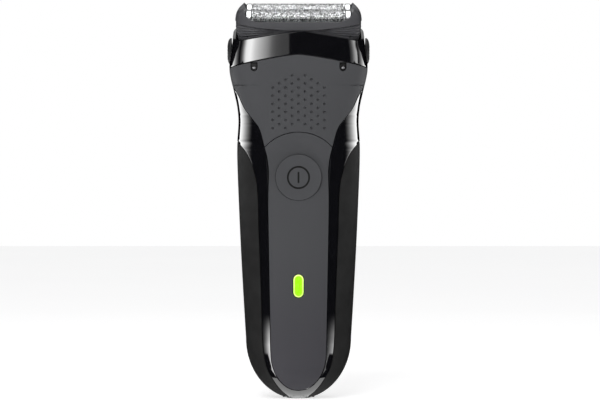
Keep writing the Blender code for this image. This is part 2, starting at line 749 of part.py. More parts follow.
def above_collar_foot(name, lift):
    """Everything above the line where the collar meets the handle."""
    return plate(name, across(collar_foot, lift) + [(32 * MM, FAR * 2), (-32 * MM, FAR * 2)], -FAR, FAR, "Y")


def below_collar_foot(name, lift):
    return plate(name, across(collar_foot, lift) + [(32 * MM, -FAR), (-32 * MM, -FAR)], -FAR, FAR, "Y")


def inlet_body(name, grow):
    outline = capsule(INLET_HALF_WIDTH + grow, INLET_HALF_DEPTH + grow, (0, PARTING_Y))
    return plate(name, outline, -0.01, INLET_HEIGHT + grow, "Z")


def lamp_body(name, grow, low, high):
    outline = capsule(LAMP_HALF_WIDTH + grow, LAMP_HALF_LENGTH + grow, (0, LAMP_HEIGHT))
    return plate(name, outline, low, high, "Y")


def housing_shell(name, side):
    """One half of the inner casing, open at the neck."""
    shell = cut(casing_skin(name, 0), casing_skin("hollow", INNER))
    half = SEAL_THICKNESS / 2
    low, high = (PARTING_Y - half, FAR) if side < 0 else (-FAR, PARTING_Y + half)
    other_half = box("other_half", (-FAR, low, -FAR), (FAR, high, FAR * 3))
    return cut(shell, other_half, above_collar_foot("head_room", -GAP), inlet_body("inlet_room", GAP))


def screw_seat():
    """y of the underside of the housing screws' heads."""
    return skin_y(POST_X, POST_Z, 1) - POCKET - SCREW_SINK


def front_housing():
    made = housing_shell("front_housing", -1)
    rooms = [
        pocket("panel_room", (front_panel_outline(GAP), thumb_panel_outline(GAP)), -1),
        grip_pocket("grip_room_left", -1),
        grip_pocket("grip_room_right", 1),
        rod("stem_room", STEM_RADIUS + GAP * 2, (0, -FAR, BUTTON_Z), (0, 0, BUTTON_Z)),
        lamp_body("lamp_room", GAP, -FAR, 0),
    ]
    return finish(cut(made, *rooms), GLOSS_BLACK)


def rear_housing():
    made = housing_shell("rear_housing", 1)
    rooms = [
        pocket("cover_room", [rear_cover_outline(GAP)], 1),
        grip_pocket("grip_room_left", -1),
        grip_pocket("grip_room_right", 1),
    ]
    made = cut(made, *rooms)
    holes = []
    for sign in (-1, 1):
        x, outer = sign * POST_X, skin_y(POST_X, POST_Z, 1) - POCKET - WALL / 2
        start = (x, POST_END + GAP, POST_Z)
        made = join(made, rod("boss", POST_RADIUS + 0.7 * MM, start, (x, outer, POST_Z), 20))
        holes.append(rod("shank_room", SCREW_RADIUS + GAP, (x, 0, POST_Z), (x, FAR, POST_Z), 12))
        holes.append(rod("head_room", SCREW_HEAD_RADIUS + GAP, (x, screw_seat(), POST_Z), (x, FAR, POST_Z), 20))
    return finish(cut(made, *holes), GLOSS_BLACK)


def housing_seal():
    """The gasket between the housings: a flat U, open at the neck, that loops over the inlet."""
    half = SEAL_THICKNESS / 2 - GAP
    low, high = (-FAR, PARTING_Y - half, -FAR), (FAR, PARTING_Y + half, FAR * 3)
    ring = keep(box("housing_seal", low, high), casing_skin("outside", POCKET + GAP))
    ring = cut(ring, casing_skin("inside", INNER), above_collar_foot("head_room", -GAP))
    tail = INLET_HEIGHT + INLET_PIN_TAIL + GAP
    loop_half = INLET_HALF_WIDTH + GAP + SEAL_LOOP
    loop = box("loop", (-loop_half, low[1], 0), (loop_half, high[1], tail + SEAL_LOOP))
    loop = keep(loop, casing_skin("outside", POCKET + GAP))
    pins = INLET_PIN_SPACING / 2 + INLET_PIN_RADIUS + GAP
    pin_room = box("pin_room", (-pins, -1, 0), (pins, 1, tail))
    ring = cut(join(ring, loop), inlet_body("inlet_room", GAP), pin_room)
    return finish(ring, SEAL_RUBBER)


def front_panel():
    made = skin_piece("front_panel", front_panel_outline(0), -1)
    hole = rod("button_room", BUTTON_RADIUS + GAP, (0, -FAR, BUTTON_Z), (0, 0, BUTTON_Z), 40)
    return finish(cut(made, hole, lamp_body("lamp_room", GAP, -FAR, 0)), MATTE_GREY)


def catch_outline(sign, grow):
    """A tongue with a round end that hangs from the thumb panel's upper edge."""
    x = sign * CATCH_OFFSET
    top = collar_foot(x, -GAP) - 0.4 * MM
    foot = top - CATCH_LENGTH + CATCH_HALF_WIDTH
    end = disc(CATCH_HALF_WIDTH + grow, (x, foot), math.pi, math.tau, ARC_STEPS)
    wide = CATCH_HALF_WIDTH + grow
    return end + [(x + wide, top + grow), (x - wide, top + grow)]


def thumb_panel():
    made = skin_piece("thumb_panel", thumb_panel_outline(0), -1)
    rooms = [plate("catch_room", catch_outline(sign, GAP), -FAR, 0, "Y") for sign in (-1, 1)]
    return finish(cut(made, *rooms), MATTE_GREY)


def cap_catch(name, sign):
    made = plate(name, catch_outline(sign, 0), -FAR, 0, "Y")
    made = cut(keep(made, casing_skin("skin", -0.25 * MM)), casing_skin("under", PANEL))
    return finish(made, CASSETTE_GREY)


def soft_grips():
    made = plate("left_grip", [(-x, z) for x, z in grip_outline(0)], -FAR, FAR, "Y")
    made = keep(made, casing_skin("skin", 0))
    made = cut(made, casing_skin("under", PANEL), inlet_body("inlet_room", GAP))
    finish(mirror_image(made, "right_grip"), SOFT_GRIP)
    finish(made, SOFT_GRIP)


def rear_cover():
    made = skin_piece("rear_cover", rear_cover_outline(0), 1)
    flat = BACK_DEPTH - REST_FLAT
    return finish(cut(made, box("flat_cut", (-FAR, flat, 0), (FAR, FAR, FAR * 2))), DARK_PLASTIC)


def seat_outline(grow):
    return rounded_box(COLLAR_HALF_WIDTH - COLLAR_WALL + grow, COLLAR_HALF_DEPTH - COLLAR_WALL + grow, 5, 40)


def release_outline(grow):
    """The release button's outline in v and w."""
    tall = (RELEASE_TOP - RELEASE_FOOT) / 2
    middle = (RELEASE_TOP + RELEASE_FOOT) / 2
    points = rounded_box(RELEASE_HALF_DEPTH + grow, tall + grow, 3.2, 28)
    return [(v, middle + w) for v, w in points]


RELEASE_W = (RELEASE_TOP + RELEASE_FOOT) / 2 - 1.2 * MM


def head_frame():
    """The glossy collar that the cassette drops into."""
    made = cut(casing_skin("head_frame", 0), casing_skin("hollow", INNER), below_collar_foot("handle", 0))
    rim = across(collar_rim, 0)
    over = in_head(plate("over_rim", rim + [(32 * MM, FAR), (-32 * MM, FAR)], -FAR, FAR, "Y"))
    ledge = SEAT_PLATE_TOP - SEAT_PLATE - GAP
    seat = in_head(plate("seat", seat_outline(0), ledge, FAR, "Z"))
    rooms = [over, seat]
    for sign in (-1, 1):
        low, high = sorted((sign * RELEASE_POCKET, sign * FAR))
        rooms.append(in_head(plate("release_room", release_outline(GAP), low, high, "X")))
        start, end = (sign * LATCH_INNER * 0.9, 0, RELEASE_W), (sign * FAR, 0, RELEASE_W)
        rooms.append(in_head(rod("stem_room", RELEASE_STEM_RADIUS + GAP, start, end, 16)))
    return finish(cut(made, *rooms), GLOSS_BLACK)


# ---- Head plate and drive --------------------------------------------------------------------------------


def seat_plate():
    """The plate under the cassette, with a slot for each drive pin."""
    low = SEAT_PLATE_TOP - SEAT_PLATE
    made = in_head(plate("seat_plate", seat_outline(-GAP), low, SEAT_PLATE_TOP, "Z"))
    rooms = []
    for side in FACES.values():
        slot = capsule(PIN_RADIUS + CUTTER_STROKE + GAP * 2, PIN_RADIUS + GAP * 2, (0, side * FOIL_V))
        rooms.append(in_head(plate("pin_slot", slot, low * 2, 0, "Z")))
    for sign in (-1, 1):
        start = (sign * HEAD_SCREW_U, 0, low * 2)
        rooms.append(in_head(rod("screw_room", SCREW_RADIUS + GAP, start, (start[0], 0, 0), 12)))
        sunk = (start[0], 0, SEAT_PLATE_TOP - HEAD_SCREW_SINK)
        rooms.append(in_head(rod("head_room", SCREW_HEAD_RADIUS + GAP, sunk, (start[0], 0, 0), 20)))
        low_u, high_u = sorted((sign * (LATCH_INNER - RELEASE_TRAVEL - GAP), sign * (LATCH_OUTER + GAP)))
        room = (low_u, -LATCH_HALF_DEPTH - GAP, 2 * low), (high_u, LATCH_HALF_DEPTH + GAP, 0)
        rooms.append(in_head(box("latch_room", *room)))
    rooms.append(cut(below_collar_foot("neck_wall", GAP), casing_skin("inside", INNER + GAP)))
    return finish(cut(made, *rooms), DARK_PLASTIC)


def screw(name, head_at, direction, length):
    """A pan-head screw: head_at is the middle of the head's underside, direction points out of the head."""
    head_at, direction = Vector(head_at), Vector(direction).normalized()
    shank = rod("shank", SCREW_RADIUS, head_at - direction * length, head_at + direction * SCREW_HEAD / 2, 12)
    made = rod(name, SCREW_HEAD_RADIUS, head_at, head_at + direction * SCREW_HEAD, 16)
    join(made, shank)
    across_head = direction.orthogonal().normalized()
    turn = direction.cross(across_head)
    top = head_at + direction * SCREW_HEAD
    for axis in (across_head, turn):
        groove = box("groove", (-1.1 * MM, -0.2 * MM, -0.5 * MM), (1.1 * MM, 0.2 * MM, 0.5 * MM))
        side = direction.cross(axis)
        rows = Matrix((axis, side, direction)).transposed().to_4x4()
        groove.data.transform(Matrix.Translation(top) @ rows)
        cut(made, groove)
    return made


def drive_bridge():
    """The carriage that the eccentric pushes from side to side; its yoke hangs down to the motor."""
    low = BRIDGE_TOP - BRIDGE_HEIGHT
    size = (BRIDGE_HALF_LENGTH, BRIDGE_HALF_DEPTH)
    made = in_head(box("drive_bridge", (-size[0], -size[1], low), (size[0], size[1], BRIDGE_TOP)))
    yoke_low = (-YOKE_HALF_LENGTH, -YOKE_HALF_DEPTH, YOKE_FOOT)
    yoke = in_head(box("yoke", yoke_low, (YOKE_HALF_LENGTH, YOKE_HALF_DEPTH, low + 1 * MM)))
    made = join(made, yoke)
    # The crank pin stands upright in the handle, so the yoke's pocket is cut in the handle's frame.
    reach = CRANK_RADIUS + CRANK_PIN_RADIUS + CUTTER_STROKE + GAP
    span = CRANK_RADIUS + CRANK_PIN_RADIUS + GAP * 2
    pocket_low = (-reach, MOTOR_AXIS_Y - span, 0)
    pin_room = box("pin_room", pocket_low, (reach, MOTOR_AXIS_Y + span, CRANK_PIN_TOP + GAP * 2))
    rods = []
    for side in FACES.values():
        v, w = side * ROD_V, BRIDGE_TOP - BRIDGE_HEIGHT / 2
        rods.append(in_head(rod("rod_room", ROD_RADIUS + GAP, (-FAR, v, w), (FAR, v, w), 16)))
        start = (0, side * FOIL_V, BRIDGE_TOP - PIN_SEAT)
        rods.append(in_head(rod("pin_seat", PIN_RADIUS + GAP, start, (0, side * FOIL_V, 0), 20)))
    return finish(cut(made, pin_room, *rods), WHITE_PLASTIC, (0, 0, BRIDGE_TOP))


def drive_pin(name, side):
    """A steel pin pressed into the bridge, which carries a cutter along."""
    v = side * FOIL_V
    start = (0, v, BRIDGE_TOP - PIN_SEAT + GAP)
    made = in_head(rod(name, PIN_RADIUS, start, (0, v, PIN_TOP), 20))
    return finish(made, POLISHED_STEEL, (0, v, BRIDGE_TOP))


def drive_boot(name, side):
    """The rubber boot that keeps hair out of the pin's slot; it travels with the pin."""
    v = side * FOIL_V
    low = SEAT_PLATE_TOP + GAP
    made = rod(name, BOOT_RADIUS, (0, v, low), (0, v, low + BOOT_HEIGHT), 24, PIN_RADIUS + 0.9 * MM)
    hole = rod("hole", PIN_RADIUS + GAP, (0, v, low - 1 * MM), (0, v, low + BOOT_HEIGHT * 2), 20)
    return finish(in_head(cut(made, hole)), SEAL_RUBBER, (0, v, low))


def guide_rod(name, side):
    v, w = side * ROD_V, BRIDGE_TOP - BRIDGE_HEIGHT / 2
    made = in_head(rod(name, ROD_RADIUS, (-ROD_HALF_LENGTH, v, w), (ROD_HALF_LENGTH, v, w), 16))
    return finish(made, POLISHED_STEEL)


def motor_shape(name, low, high, inset=0.0):
    """The can's flat-sided round section."""
    radius, flat = MOTOR_WIDTH / 2 - inset, MOTOR_DEPTH / 2 - inset
    turn = math.asin(flat / radius)
    right = disc(radius, (0, MOTOR_AXIS_Y), -turn, turn, ARC_STEPS)
    left = disc(radius, (0, MOTOR_AXIS_Y), math.pi - turn, math.pi + turn, ARC_STEPS)
    return plate(name, right + left, low, high, "Z")


def on_motor(z):
    return (0, MOTOR_AXIS_Y, z)


def motor_can():
    made = motor_shape("motor_can", MOTOR_TOP - MOTOR_LENGTH, MOTOR_TOP)
    boss = rod("boss", BOSS_RADIUS, on_motor(MOTOR_TOP - 1 * MM), on_motor(MOTOR_TOP + BOSS_HEIGHT), 24)
    bore = rod("bore", SHAFT_RADIUS + GAP, on_motor(MOTOR_TOP - MOTOR_LENGTH / 2), on_motor(FAR * 2), 20)
    return finish(cut(join(made, boss), bore), MOTOR_STEEL)


def motor_end_cap():
    high = MOTOR_TOP - MOTOR_LENGTH - GAP
    made = motor_shape("motor_end_cap", high - END_CAP, high, 0.4 * MM)
    boss = rod("boss", BOSS_RADIUS, on_motor(high - END_CAP - 1.2 * MM), on_motor(high - 1 * MM), 24)
    return finish(join(made, boss), WHITE_PLASTIC)


def motor_shaft():
    low = MOTOR_TOP - MOTOR_LENGTH / 2 + GAP
    high = ECCENTRIC_FOOT + ECCENTRIC_HEIGHT - 0.6 * MM
    made = rod("motor_shaft", SHAFT_RADIUS, on_motor(low), on_motor(high), 20)
    return finish(made, POLISHED_STEEL, on_motor(MOTOR_TOP))


def eccentric():
    """The crank disc with its offset pin; the pin points towards the back at rest."""
    foot, top = ECCENTRIC_FOOT, ECCENTRIC_FOOT + ECCENTRIC_HEIGHT
    made = rod("eccentric", ECCENTRIC_RADIUS, on_motor(foot), on_motor(top), 28)
    y = MOTOR_AXIS_Y + CRANK_RADIUS
    pin = rod("pin", CRANK_PIN_RADIUS, (0, y, top - 1 * MM), (0, y, CRANK_PIN_TOP), 16)
    counterweight = box(
        "notch",
        (-ECCENTRIC_RADIUS, MOTOR_AXIS_Y + 2.2 * MM, foot - 1 * MM),
        (ECCENTRIC_RADIUS, MOTOR_AXIS_Y + 4 * MM, top - 1.2 * MM),
    )
    bore_top = on_motor(top - 0.6 * MM + GAP)
    bore = rod("bore", SHAFT_RADIUS + GAP, on_motor(foot - 1 * MM), bore_top, 20)
    return finish(cut(join(made, pin), counterweight, bore), BRASS, on_motor(foot))


# ---- Chassis, battery and electronics --------------------------------------------------------------------
CHASSIS_BACK = MOTOR_AXIS_Y - MOTOR_DEPTH / 2 - 1.6 * GAP
BOARD_FRONT = -(front_reach(BUTTON_Z) - BOARD_BEHIND_SKIN)
BOARD_LOW = LAMP_HEIGHT - 11 * MM
BOARD_HIGH = BUTTON_Z + 9 * MM
CELL_X = CELL_RADIUS + CELL_SPACING / 2
CELL_Y = MOTOR_AXIS_Y
CHASSIS_HALF_WIDTH = 12.8 * MM
CHASSIS_FOOT_HALF_WIDTH = 6.5 * MM
CHASSIS_LOW = CELL_FOOT - 1.2 * MM
CHASSIS_HIGH = MOTOR_TOP + 1.5 * MM
RIB_BACK = CELL_Y + 0.5 * MM


def chassis():
    """The inner frame: a back plate with ribs that cradle the cells and the motor, and posts for the head."""
    shoulder = CHASSIS_LOW + CHASSIS_HALF_WIDTH - CHASSIS_FOOT_HALF_WIDTH
    right = [(CHASSIS_FOOT_HALF_WIDTH, CHASSIS_LOW), (CHASSIS_HALF_WIDTH, shoulder)]
    outline = mirrored(right + [(CHASSIS_HALF_WIDTH, CHASSIS_HIGH)])
    made = plate("chassis", outline, CHASSIS_BACK - CHASSIS, CHASSIS_BACK, "Y")
    additions = []
    for share in (0.2, 0.85):
        z = CELL_FOOT + share * CELL_LENGTH
        start = (-CHASSIS_HALF_WIDTH, CHASSIS_BACK - CHASSIS / 2, z - CHASSIS_RIB / 2)
        additions.append(box("rib", start, (CHASSIS_HALF_WIDTH, RIB_BACK, z + CHASSIS_RIB / 2)))
    motor_rib = MOTOR_TOP - MOTOR_LENGTH / 2
    start = (-CHASSIS_HALF_WIDTH, CHASSIS_BACK - CHASSIS / 2, motor_rib - CHASSIS_RIB)
    additions.append(box("motor_rib", start, (CHASSIS_HALF_WIDTH, RIB_BACK, motor_rib + CHASSIS_RIB)))
    for sign in (-1, 1):
        start = (sign * POST_X, CHASSIS_BACK - CHASSIS / 2, POST_Z)
        additions.append(rod("post", POST_RADIUS, start, (sign * POST_X, POST_END, POST_Z), 20))
    made = join(made, *additions)
    rooms = [
        rod("screw_room", SCREW_RADIUS + GAP, (x, 0, POST_Z), (x, FAR, POST_Z), 12) for x in (-POST_X, POST_X)
    ]
    rooms += [motor_shape("motor_room", MOTOR_TOP - MOTOR_LENGTH * 1.5, MOTOR_TOP + 2 * MM, -GAP)]
    for sign in (-1, 1):
        start = (sign * CELL_X, CELL_Y, CELL_FOOT - 2 * MM)
        end = (sign * CELL_X, CELL_Y, CELL_FOOT + CELL_LENGTH + 2 * MM)
        rooms.append(rod("cell_room", CELL_RADIUS + GAP, start, end, 28))
    return finish(cut(made, *rooms), DARK_PLASTIC)


def head_bracket():
    """The cross-piece under the seat plate that holds the guide rods and takes the head screws."""
    high = SEAT_PLATE_TOP - SEAT_PLATE - GAP
    rod_w = BRIDGE_TOP - BRIDGE_HEIGHT / 2
    low = rod_w - ROD_RADIUS - 1.6 * MM
    inner = BRIDGE_HALF_LENGTH + CUTTER_STROKE + 2 * GAP
    outer = HEAD_SCREW_U + 2.3 * MM
    deep = BRIDGE_HALF_DEPTH + 1.2 * MM
    made = in_head(box("head_bracket", (-outer, -deep, low), (outer, deep, high)))
    made = keep(made, casing_skin("inside", INNER + GAP))
    room = in_head(box("bridge_room", (-inner, -deep + 1.2 * MM - GAP, low * 2), (inner, deep - 0.9 * MM, 0)))
    rooms = [room]
    for side in FACES.values():
        v = side * ROD_V
        length = ROD_HALF_LENGTH + GAP
        rooms.append(in_head(rod("rod_room", ROD_RADIUS + GAP, (-length, v, rod_w), (length, v, rod_w), 16)))
    for sign in (-1, 1):
        foot = (sign * HEAD_SCREW_U, 0, high - 4.6 * MM)
        rooms.append(in_head(rod("screw_room", SCREW_RADIUS + GAP, foot, (foot[0], 0, 0), 12)))
    return finish(cut(made, *rooms), DARK_PLASTIC)


def battery_cell(name, sign):
    """A sleeved cell with its raised positive end."""
    x = sign * CELL_X
    body = rod(name, CELL_RADIUS, (x, CELL_Y, CELL_FOOT), (x, CELL_Y, CELL_FOOT + CELL_LENGTH), 28)
    top = CELL_FOOT + CELL_LENGTH
    nub = rod("nub", 2.0 * MM, (x, CELL_Y, top - 1 * MM), (x, CELL_Y, top + 0.8 * MM), 20)
    return finish(join(body, nub), CELL_SLEEVE)


def battery_strap():
    """The nickel link that joins the two cells at the bottom."""
    low = CELL_FOOT - GAP - STRAP
    reach = CELL_X + 2 * MM
    made = box("battery_strap", (-reach, CELL_Y - 2 * MM, low), (reach, CELL_Y + 2 * MM, low + STRAP))
    return finish(made, NICKEL)


def circuit_board():
    low = (-BOARD_HALF_WIDTH, BOARD_FRONT, BOARD_LOW)
    made = box("circuit_board", low, (BOARD_HALF_WIDTH, BOARD_FRONT + BOARD, BOARD_HIGH))
    return finish(made, BOARD_GREEN)


def tact_switch():
    back = BOARD_FRONT - GAP
    half, front = SWITCH_HALF_SIZE, back - SWITCH_HEIGHT
    made = box("tact_switch", (-half, front, BUTTON_Z - half), (half, back, BUTTON_Z + half))
    bore = rod("bore", PLUNGER_RADIUS + GAP, (0, -FAR, BUTTON_Z), (0, back - 0.5 * MM, BUTTON_Z), 20)
    return finish(cut(made, bore), DARK_PLASTIC)


def plunger_ends():
    """y of the plunger's front and back ends."""
    switch_front = BOARD_FRONT - GAP - SWITCH_HEIGHT
    return switch_front - PLUNGER_ABOVE_SWITCH, switch_front + 0.9 * MM


def switch_plunger():
    front, back = plunger_ends()
    made = rod("switch_plunger", PLUNGER_RADIUS, (0, back, BUTTON_Z), (0, front, BUTTON_Z), 20)
    return finish(made, WHITE_PLASTIC, (0, front, BUTTON_Z))


def status_led():
    back = BOARD_FRONT - GAP
    half = 1.4 * MM
    low = (-half, back - 1.2 * MM, LAMP_HEIGHT - half)
    return finish(box("status_led", low, (half, back, LAMP_HEIGHT + half)), WHITE_PLASTIC)


def light_guide():
    """The green window, which carries the light from the board to the panel's surface."""
    made = lamp_body("light_guide", 0, -FAR, BOARD_FRONT - 1.2 * MM - 2 * GAP)
    return finish(keep(made, casing_skin("skin", -0.15 * MM)), LAMP_GREEN)


def lead(name, route, look):
    """A short soldered wire along a smooth curve through its points."""
    count = 12
    axes = [smooth([(k, point[axis]) for k, point in enumerate(route)]) for axis in range(3)]
    places = [k * (len(route) - 1) / count for k in range(count + 1)]
    points = [[axis(place) for axis in axes] for place in places]
    return finish(swept(name, points, LEAD_RADIUS), look)


def motor_lead(name, sign, look):
    """From the motor's end cap round the chassis to the circuit board."""
    cap = MOTOR_TOP - MOTOR_LENGTH - GAP - END_CAP
    out = CHASSIS_HALF_WIDTH + 2.4 * MM
    route = [
        (sign * 5 * MM, MOTOR_AXIS_Y, cap - GAP),
        (sign * 7 * MM, MOTOR_AXIS_Y, cap - 3.5 * MM),
        (sign * out, CHASSIS_BACK + 2 * MM, cap - 3.5 * MM),
        (sign * out, CHASSIS_BACK - CHASSIS, cap - 2 * MM),
        (sign * (BOARD_HALF_WIDTH + 1.2 * MM), BOARD_FRONT + BOARD / 2, cap),
    ]
    return lead(name, route, look)


# ---- Power inlet -----------------------------------------------------------------------------------------
def inlet_housing():
    made = keep(inlet_body("inlet_housing", 0), casing_skin("skin", 0))
    mouth = capsule(INLET_MOUTH_HALF_WIDTH, INLET_MOUTH_HALF_DEPTH, (0, PARTING_Y))
    rooms = [plate("mouth", mouth, -0.01, INLET_DEPTH, "Z")]
    for sign in (-1, 1):
        x = sign * INLET_PIN_SPACING / 2
        start, end = (x, PARTING_Y, 0), (x, PARTING_Y, FAR)
        rooms.append(rod("pin_room", INLET_PIN_RADIUS + GAP, start, end, 16))
    return finish(cut(made, *rooms), DARK_PLASTIC)


def inlet_pin(name, sign):
    x = sign * INLET_PIN_SPACING / 2
    start, end = (x, PARTING_Y, INLET_PIN_RECESS), (x, PARTING_Y, INLET_HEIGHT + INLET_PIN_TAIL)
    return finish(rod(name, INLET_PIN_RADIUS, start, end, 16), NICKEL)


# ---- Buttons ---------------------------------------------------------------------------------------------
def power_button():
    """A round key, slightly dished, with a stem that reaches the switch."""
    skin = skin_y(0, BUTTON_Z, -1)
    face, back = skin - BUTTON_PROUD, skin - BUTTON_PROUD + BUTTON_THICKNESS
    made = rod("power_button", BUTTON_RADIUS, (0, back, BUTTON_Z), (0, face, BUTTON_Z), 40)
    stem_end = plunger_ends()[0] - GAP
    stem = rod("stem", STEM_RADIUS, (0, stem_end, BUTTON_Z), (0, back - 0.4 * MM, BUTTON_Z), 20)
    return finish(join(made, stem), MATTE_GREY, (0, skin, BUTTON_Z))


def release_button(name, sign):
    """A ribbed side button: a hollow cap with a stem through the collar's wall."""
    low, high = sorted((sign * RELEASE_BACK, sign * RELEASE_FACE))
    made = plate(name, release_outline(0), low, high, "X")
    hollow_from, hollow_to = sorted((sign * RELEASE_BACK * 0.98, sign * (RELEASE_FACE - RELEASE_SKIN)))
    hollow = plate("hollow", release_outline(-1.3 * MM), hollow_from, hollow_to, "X")
    made = cut(made, hollow)
    start = (sign * (LATCH_INNER + 0.3 * MM), 0, RELEASE_W)
    stem = rod("stem", RELEASE_STEM_RADIUS, start, (sign * (RELEASE_FACE - RELEASE_SKIN / 2), 0, RELEASE_W), 16)
    low, high = sorted((sign * LATCH_INNER, sign * LATCH_OUTER))
    foot = RELEASE_W - RELEASE_STEM_RADIUS - 0.4 * MM
    latch = box("latch", (low, -LATCH_HALF_DEPTH, foot), (high, LATCH_HALF_DEPTH, LATCH_TOP))
    made = join(made, stem, latch)
    grooves = []
    for k in range(3):
        w = RELEASE_FOOT + (2.0 + 2.7 * k) * MM
        reach = sign * (RELEASE_FACE + 0.5 * MM), sign * (RELEASE_FACE - 0.45 * MM)
        low, high = sorted(reach)
        grooves.append(box("groove", (low, -FAR, w), (high, FAR, w + 1.1 * MM)))
    made = cut(made, *grooves)
    return finish(in_head(made), DARK_PLASTIC, (sign * RELEASE_BACK, 0, RELEASE_W))


def coil(name, radius, wire, turns, start, end, steps=7):
    """A coil spring from start to end."""
    start, end = Vector(start), Vector(end)
    along = (end - start).normalized()
    side = along.orthogonal().normalized()
    turn = along.cross(side)
    free = (end - start).length - wire
    count = int(turns * steps)
    points = []
    for k in range(count + 1):
        angle = math.tau * k / steps
        reach = (side * math.cos(angle) + turn * math.sin(angle)) * (radius - wire / 2)
        points.append(start + along * (wire / 2 + free * k / count) + reach)
    return swept(name, points, wire / 2)


def release_spring(name, sign):
    start = (sign * (RELEASE_POCKET + GAP / 2), 0, RELEASE_W)
    end = (sign * (RELEASE_FACE - RELEASE_SKIN - GAP / 2), 0, RELEASE_W)
    made = coil(name, RELEASE_SPRING_RADIUS, 0.3 * MM, 3, start, end)
    return finish(in_head(made), POLISHED_STEEL, start)


# ---- Cassette --------------------------------------------------------------------------------------------
def cassette_form():
    """The cassette's outer form: soft rectangles that swell above the collar and close in at the top."""
    levels = [
        (CASSETTE_FOOT, -1.2 * MM, -0.7 * MM),
        (3.2 * MM, -0.7 * MM, -0.5 * MM),
        (5 * MM, -0.15 * MM, -0.35 * MM),
        (8 * MM, 0, 0),
        (10.4 * MM, -0.35 * MM, -0.8 * MM),
        (12.4 * MM, -1.4 * MM, -1.5 * MM),
        (14.5 * MM, -3.4 * MM, -2.4 * MM),
    ]
    rings = []
    for w, du, dv in levels:
        outline = rounded_box(CASSETTE_HALF_LENGTH + du, CASSETTE_HALF_DEPTH + dv, 5, 40)
        rings.append([(u, v, w) for u, v in outline])
    return loft("cassette_frame", rings)


def cheek_outline():
    """The cassette's end seen along u: a lobe over each foil and a notch between them for the trimmer."""
    deep = CASSETTE_HALF_DEPTH + 1 * MM
    start = math.pi - math.asin((CASSETTE_WALL_TOP - CHEEK_CENTRE) / CHEEK_RADIUS)
    notch_v = TRIMMER_HALF_DEPTH + GAP
    end = math.acos((FOIL_V - notch_v) / CHEEK_RADIUS)
    lobe = disc(CHEEK_RADIUS, (-FOIL_V, CHEEK_CENTRE), end, start, 14)
    notch = TRIMMER_TOP - TRIMMER_EAR_HEIGHT - TRIMMER_TRAVEL - GAP
    left = [(-deep, 2 * CASSETTE_FOOT), (-deep, CASSETTE_WALL_TOP)] + list(reversed(lobe)) + [(-notch_v, notch)]
    return left + [(-v, w) for v, w in reversed(left)]


def foil_bay(name, side):
    """The room for one foil with its holder: straight sides under a half-round top."""
    v = side * FOIL_V
    top = disc(BAY_RADIUS, (v, FOIL_CENTRE), 0, math.pi, 16)
    low = CASSETTE_FOOT + CASSETTE_FLOOR
    outline = top + [(v - BAY_RADIUS, low), (v + BAY_RADIUS, low)]
    return plate(name, outline, -BAY_HALF_LENGTH, BAY_HALF_LENGTH, "X")


def cassette_frame():
    made = keep(cassette_form(), plate("cheeks", cheek_outline(), -FAR, FAR, "X"))
    top = 15.5 * MM
    slope = (SMILE_HIGH - SMILE_LOW) / (14 * MM - CASSETTE_WALL_TOP)
    wide = SMILE_LOW + slope * (top - CASSETTE_WALL_TOP)
    opening = [(-SMILE_LOW, CASSETTE_WALL_TOP), (SMILE_LOW, CASSETTE_WALL_TOP), (wide, top), (-wide, top)]
    trimmer_bay = box(
        "trimmer_bay",
        (-BAY_HALF_LENGTH, -FOIL_V, CASSETTE_FOOT + CASSETTE_FLOOR),
        (BAY_HALF_LENGTH, FOIL_V, FOIL_CENTRE),
    )
    slot_half = TRIMMER_HALF_DEPTH + GAP
    trimmer_slot = box(
        "trimmer_slot", (-BAY_HALF_LENGTH, -slot_half, 0), (BAY_HALF_LENGTH, slot_half, FAR)
    )
    drive_room = box(
        "drive_room",
        (-CUTTER_HALF_LENGTH - CUTTER_STROKE, -FOIL_V - BOOT_RADIUS - GAP, -FAR),
        (CUTTER_HALF_LENGTH + CUTTER_STROKE, FOIL_V + BOOT_RADIUS + GAP, 0),
    )
    latch_rooms = []
    for sign in (-1, 1):
        low, high = sorted((sign * (LATCH_INNER - RELEASE_TRAVEL - GAP), sign * (LATCH_OUTER + GAP)))
        deep = LATCH_HALF_DEPTH + GAP
        latch_rooms.append(box("latch_room", (low, -deep, -FAR), (high, deep, LATCH_TOP + GAP)))
    rooms = latch_rooms + [
        plate("smile", opening, -FAR, FAR, "Y"),
        foil_bay("front_bay", -1),
        foil_bay("rear_bay", 1),
        trimmer_bay,
        trimmer_slot,
        drive_room,
    ]
    return finish(in_head(cut(made, *rooms)), CASSETTE_GREY, (0, 0, CASSETTE_FOOT))


def arch_outline(v, radius, foot, steps=16):
    """A half-round top on straight legs that end at foot."""
    top = disc(radius, (v, FOIL_CENTRE), 0, math.pi, steps)
    return top + [(v - radius, foot), (v + radius, foot)]


def foil(name, side):
    """The arched sheet that lies on the face."""
    v, foot = side * FOIL_V, HOLDER_FOOT + 1.2 * MM
    made = plate(name, arch_outline(v, FOIL_RADIUS, foot), -FOIL_HALF_LENGTH, FOIL_HALF_LENGTH, "X")
    inside = arch_outline(v, FOIL_RADIUS - FOIL_THICKNESS, foot - 1 * MM)
    made = cut(made, plate("inside", inside, -FAR, FAR, "X"))
    return finish(in_head(made), FOIL_STEEL, (0, v, FOIL_CENTRE))


